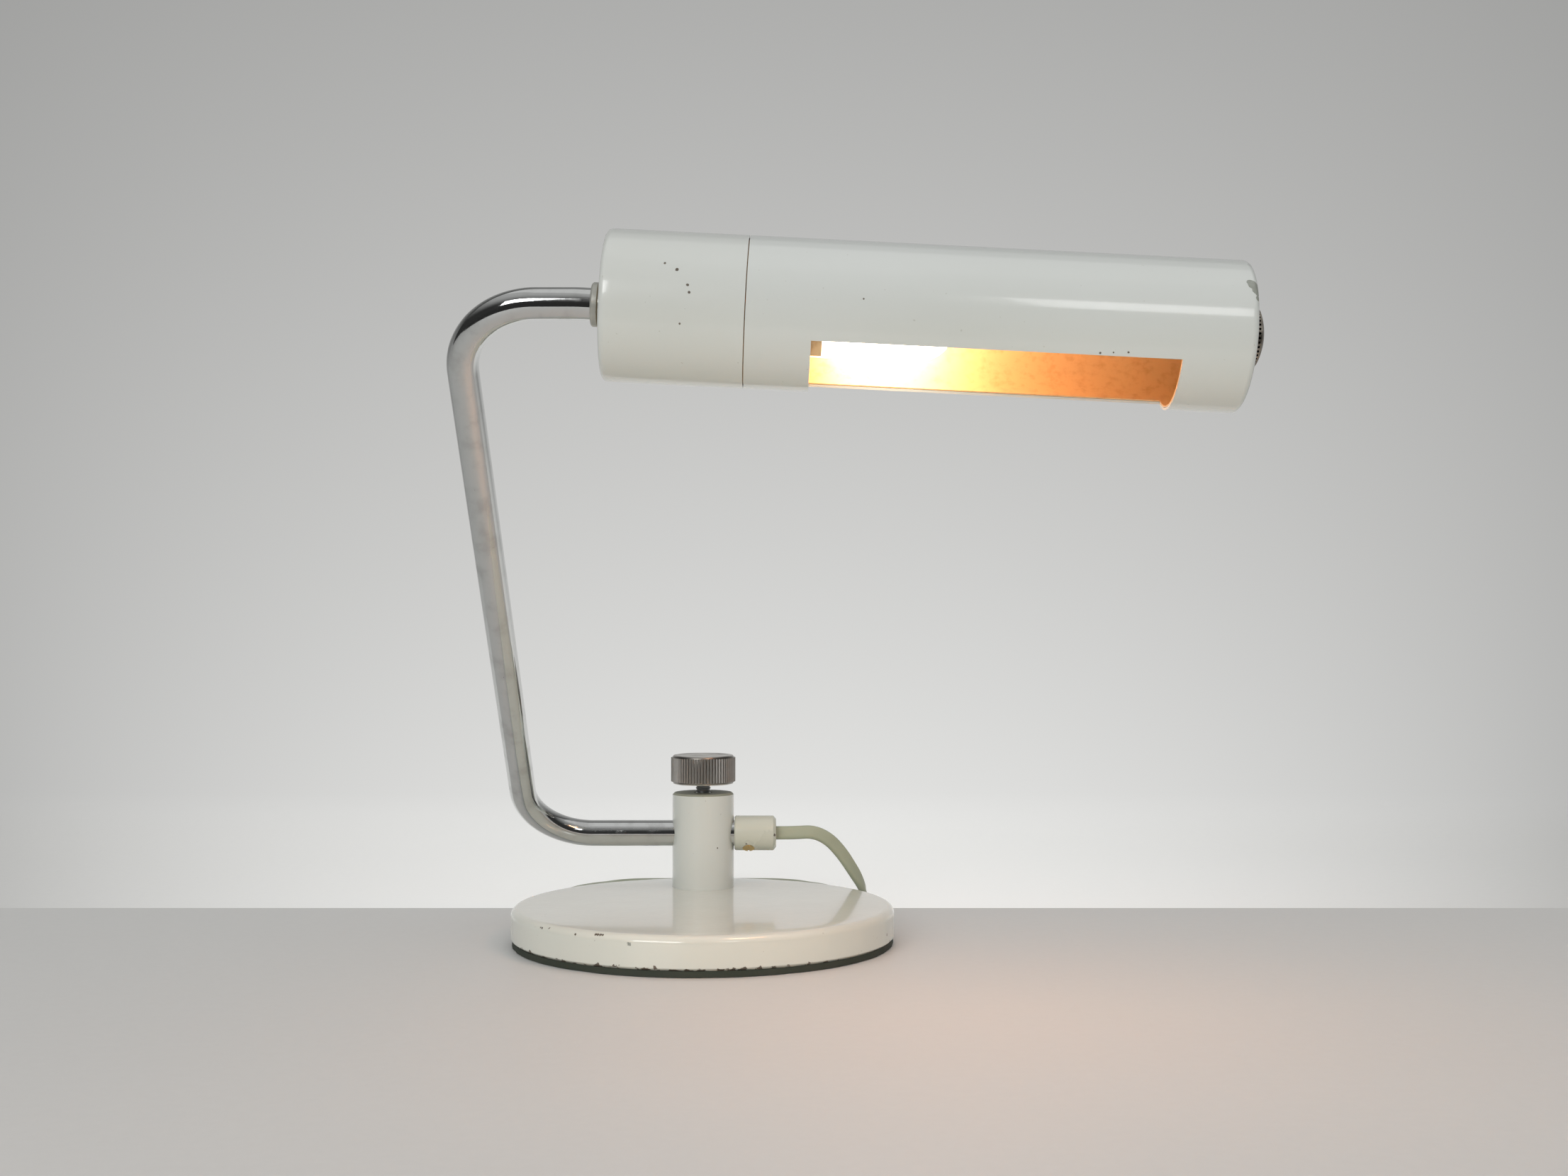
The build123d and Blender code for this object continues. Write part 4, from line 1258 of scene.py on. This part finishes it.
# %% Tie strap
strap_x, strap_w, strap_t = -0.026, 0.006, 0.00025
strap_line = [(0.0705, 0.0003), (0.0984, 0.0003), (0.0990, 0.0010), (0.0990, 0.0026),
              (0.0984, 0.0034), (0.0915, 0.0062), (0.0900, 0.0064), (0.0765, 0.0064),
              (0.0750, 0.0060), (0.0703, 0.0034), (0.0699, 0.0026), (0.0699, 0.0008)]
strap_rings = [[(strap_x + side * strap_w / 2, y, z) for y, z in strap_line]
               for side in (-1, 1)]
strap = show("tie_skin", plain_mesh("tie_skin", *loft(strap_rings, False, False)))
modify(strap, "SOLIDIFY", thickness=strap_t, offset=0)
modify(strap, "BEVEL", width=0.00008, segments=2)
dress(strap, tie_strap)
settle(strap, "stand", "tie_black", "cord_tie")

# %% [markdown]
# ## Finishes on the pieces that stay as they are
# The small pieces inside the head and under the base are right as they came from the solid
# model. Each gets the finish of its material.

# %% Dress the other nodes
for finish, names in (
        (steel, "post_washer post_screw toothed_washer inner_nut bulb_tip bulb_filament "
                "switch_spindle"),
        (brass, "clamp_foot grip_screw screw_shell centre_contact terminal_screws switch_bush "
                "switch_tabs"),
        (nickel, "bulb_cap switch_nut"),
        (copper, "shade_spigot"),
        (black_moulding, "holder_cap holder_shell bulb_insulator switch_body"),
        (porcelain, "holder_core"),
        (heat_sleeve, "holder_leads switch_wires"),
        (cream_vinyl_painted_shade, "inner_lead"),
        (clear_glass, "bulb_stem")):
    for name in names.split():
        dress(nodes[name], finish)
    print(finish.material.name, "on", names)

# %% [markdown]
# ## Floor, backdrop and light
# The lamp stands on a pale table in front of a pale wall. Where the table meets the wall,
# the wall glows, brightest just behind the lamp. That glow is only in what the camera and
# the reflections see, so it adds no light to the lamp, and on the table it is added to the
# lit surface, so shadows stay in it. The light itself is soft and plain: a large one from
# the front left, a wide weak one from above, a strip that draws the line along the shade, a
# low one and a warm one close over the table for the undersides, and an even surround.
# A faint orange one below the window stands for what the small bulb throws on the table,
# and a low one at the wall gives the lamp's lower edges the thin light line of the glow.
# Mirrors see the table end in front of the lamp, and a dark room beyond it.

# %% Stage helpers
back_y, line_y, front_y, glow_low = 0.90, 0.0785, -0.50, -0.128


class Stage(Finish):
    """A finish for a stage piece, which can glow in what the camera and mirrors see."""

    def seen_rays(self):
        """1 for camera, glossy and transmission rays, 0 for the rays that carry light."""
        path = self.node("ShaderNodeLightPath")
        return self.math("MAXIMUM", *[path.outputs[f"Is {kind} Ray"]
                                      for kind in ("Camera", "Glossy", "Transmission")])

    def glow(self, strength):
        return self.node("ShaderNodeEmission", (1.0, 1.0, 0.982, 1), strength).outputs[0]

    def blend(self, share, first, second):
        """Two shaders mixed, the second where share is 1."""
        return self.node("ShaderNodeMixShader", share, first, second).outputs[0]

    def glow_level(self):
        """The glow on the wall, and on the table behind the lamp, as one even fall-off.

        A point of the table is first carried onto the wall along the line from the
        camera's fixed place, so the two meet without a step. The glow is brightest just
        behind the lamp, weaker with height, and weaker to both sides."""
        x, y, z = self.split(self.spot)
        scale = self.math("DIVIDE", back_y - camera_place.y, self.minus(y, camera_place.y))
        side = self.times(self.minus(x, camera_place.x), scale)
        up = self.plus(self.times(self.minus(z, camera_place.z), scale),
                       camera_place.z - glow_low)
        with_height = self.math("EXPONENT", self.times(up, -1 / 1.21))
        spread = self.math("EXPONENT", self.times(up, -1 / 0.79))
        loss = self.times(self.times(side, side), self.times(spread, 0.87))
        return self.times(with_height, self.minus(1.0, self.math("MINIMUM", loss, 0.5)), 0.81)

    def plane(self, name, corners):
        """A stage piece with this finish."""
        made = show(name, plain_mesh(name, corners, [(0, 1, 2, 3)]))
        made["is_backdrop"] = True
        dress(made, self)
        return made

print("stage helper ready")

# %% Floor and backdrop
wall_finish = Stage("wall", (0.55, 0.55, 0.54), 0.9)
wall_finish.surface(wall_finish.blend(wall_finish.seen_rays(), wall_finish.skin.outputs[0],
                                      wall_finish.glow(wall_finish.glow_level())))
backdrop = wall_finish.plane("backdrop", [(-4, back_y, -0.5), (4, back_y, -0.5),
                                          (4, back_y, 3), (-4, back_y, 3)])

plain_level, plain_slope = 0.437, -0.02
table = Stage("table", (0.55, 0.55, 0.54), 0.5)
table.put(Base_Color=table.mix(table.noise(260, 4.0), (0.585, 0.585, 0.575),
                               (0.615, 0.615, 0.605)))
floor_y = table.split(table.spot)[1]
behind = table.times(table.over(floor_y, line_y), table.seen_rays())
lit = table.plus(plain_level, table.times(floor_y, plain_slope))
extra = table.math("MAXIMUM", table.minus(table.glow_level(), lit), 0.0)
lit_table = table.node("ShaderNodeAddShader", table.skin.outputs[0],
                       table.glow(table.times(extra, behind))).outputs[0]
far_from, far_to = 0.28, 0.60
far = table.times(table.between(floor_y, far_from, far_to), behind)
whole_table = table.blend(far, lit_table, table.glow(table.glow_level()))
mirrored = table.node("ShaderNodeLightPath").outputs["Is Glossy Ray"]
table.surface(table.blend(table.times(table.under(floor_y, front_y), mirrored), whole_table,
                          table.glow(0.03)))
floor = table.plane("table", [(-4, -4, 0), (4, -4, 0), (4, back_y, 0), (-4, back_y, 0)])
print("stage pieces:", floor.name, backdrop.name)

# %% Light
white, pale_yellow, warm = (1, 1, 1), (1.0, 0.93, 0.74), (1.0, 0.90, 0.62)
orange = (1.0, 0.42, 0.20)
middle = (0.03, -0.03, 0.12)
window_light = head @ Vector((0.10, -0.004, -0.026))


def soft_light(name, place, aim, size, power, color=white, mirrored=True, spread=180):
    data = bpy.data.lights.new(name, "AREA")
    data.shape = "RECTANGLE"
    data.size, data.size_y = size
    data.energy = power
    data.color = color
    data.spread = radians(spread)
    lamp = bpy.data.objects.new(name, data)
    lamp.location = place
    lamp.rotation_euler = (Vector(aim) - Vector(place)).to_track_quat("-Z", "Y").to_euler()
    lamp.visible_camera = False
    lamp.visible_glossy = mirrored
    bpy.context.scene.collection.objects.link(lamp)


soft_light("front_light", (-0.78, -1.78, 0.84), middle, (1.0, 0.62), 11.4)
soft_light("ceiling_light", (0.2, 0.1, 1.6), (0.03, -0.03, 0.0), (1.6, 1.6), 1.6)
soft_light("pool_light", window_light, (0.10, -0.15, 0.0), (0.07, 0.02), 0.09, orange)
soft_light("strip_light", (0.53, -1.60, 0.95), (0.12, -0.12, 0.21), (0.40, 0.34), 1.5)
soft_light("low_fill_light", (0.05, -0.62, 0.03), (0.05, -0.12, 0.24), (0.9, 0.05), 0.09,
           pale_yellow, False, 85)
soft_light("bounce_light", (0.075, -0.20, 0.017), (0.075, -0.15, 0.20), (0.26, 0.12), 0.08,
           warm, False)
soft_light("back_light", (0.03, 0.78, 0.04), (0.06, -0.12, 0.20), (1.2, 0.06), 1.5, white, False)
print([lamp.name for lamp in bpy.data.lights])

# %% Surround
world = bpy.data.worlds.new("surround")
world.use_nodes = True
sky = Nodes(world.node_tree)
up = sky.split(sky.node("ShaderNodeTexCoord").outputs["Generated"])[2]
in_mirrors = sky.between(up, 0.3, 0.95, 0.035, 0.50)
mirrored = sky.node("ShaderNodeLightPath").outputs["Is Glossy Ray"]
strength = sky.node("ShaderNodeMix", Factor=mirrored, A=0.72, B=in_mirrors).outputs[0]
sky_light = sky.node("ShaderNodeBackground", (1.0, 1.0, 0.99, 1), strength)
sky.node("ShaderNodeOutputWorld", Surface=sky_light.outputs[0])
bpy.context.scene.world = world
bpy.context.scene.view_settings.view_transform = "Standard"
print("surround set")

# %% Measure and finish
shown_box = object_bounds()
sizes = {"cad": [list(corner) for corner in cad_box],
         "shown": [list(corner) for corner in shown_box]}
for key, box in sizes.items():
    print(key, [[round(c, 4) for c in corner] for corner in box])
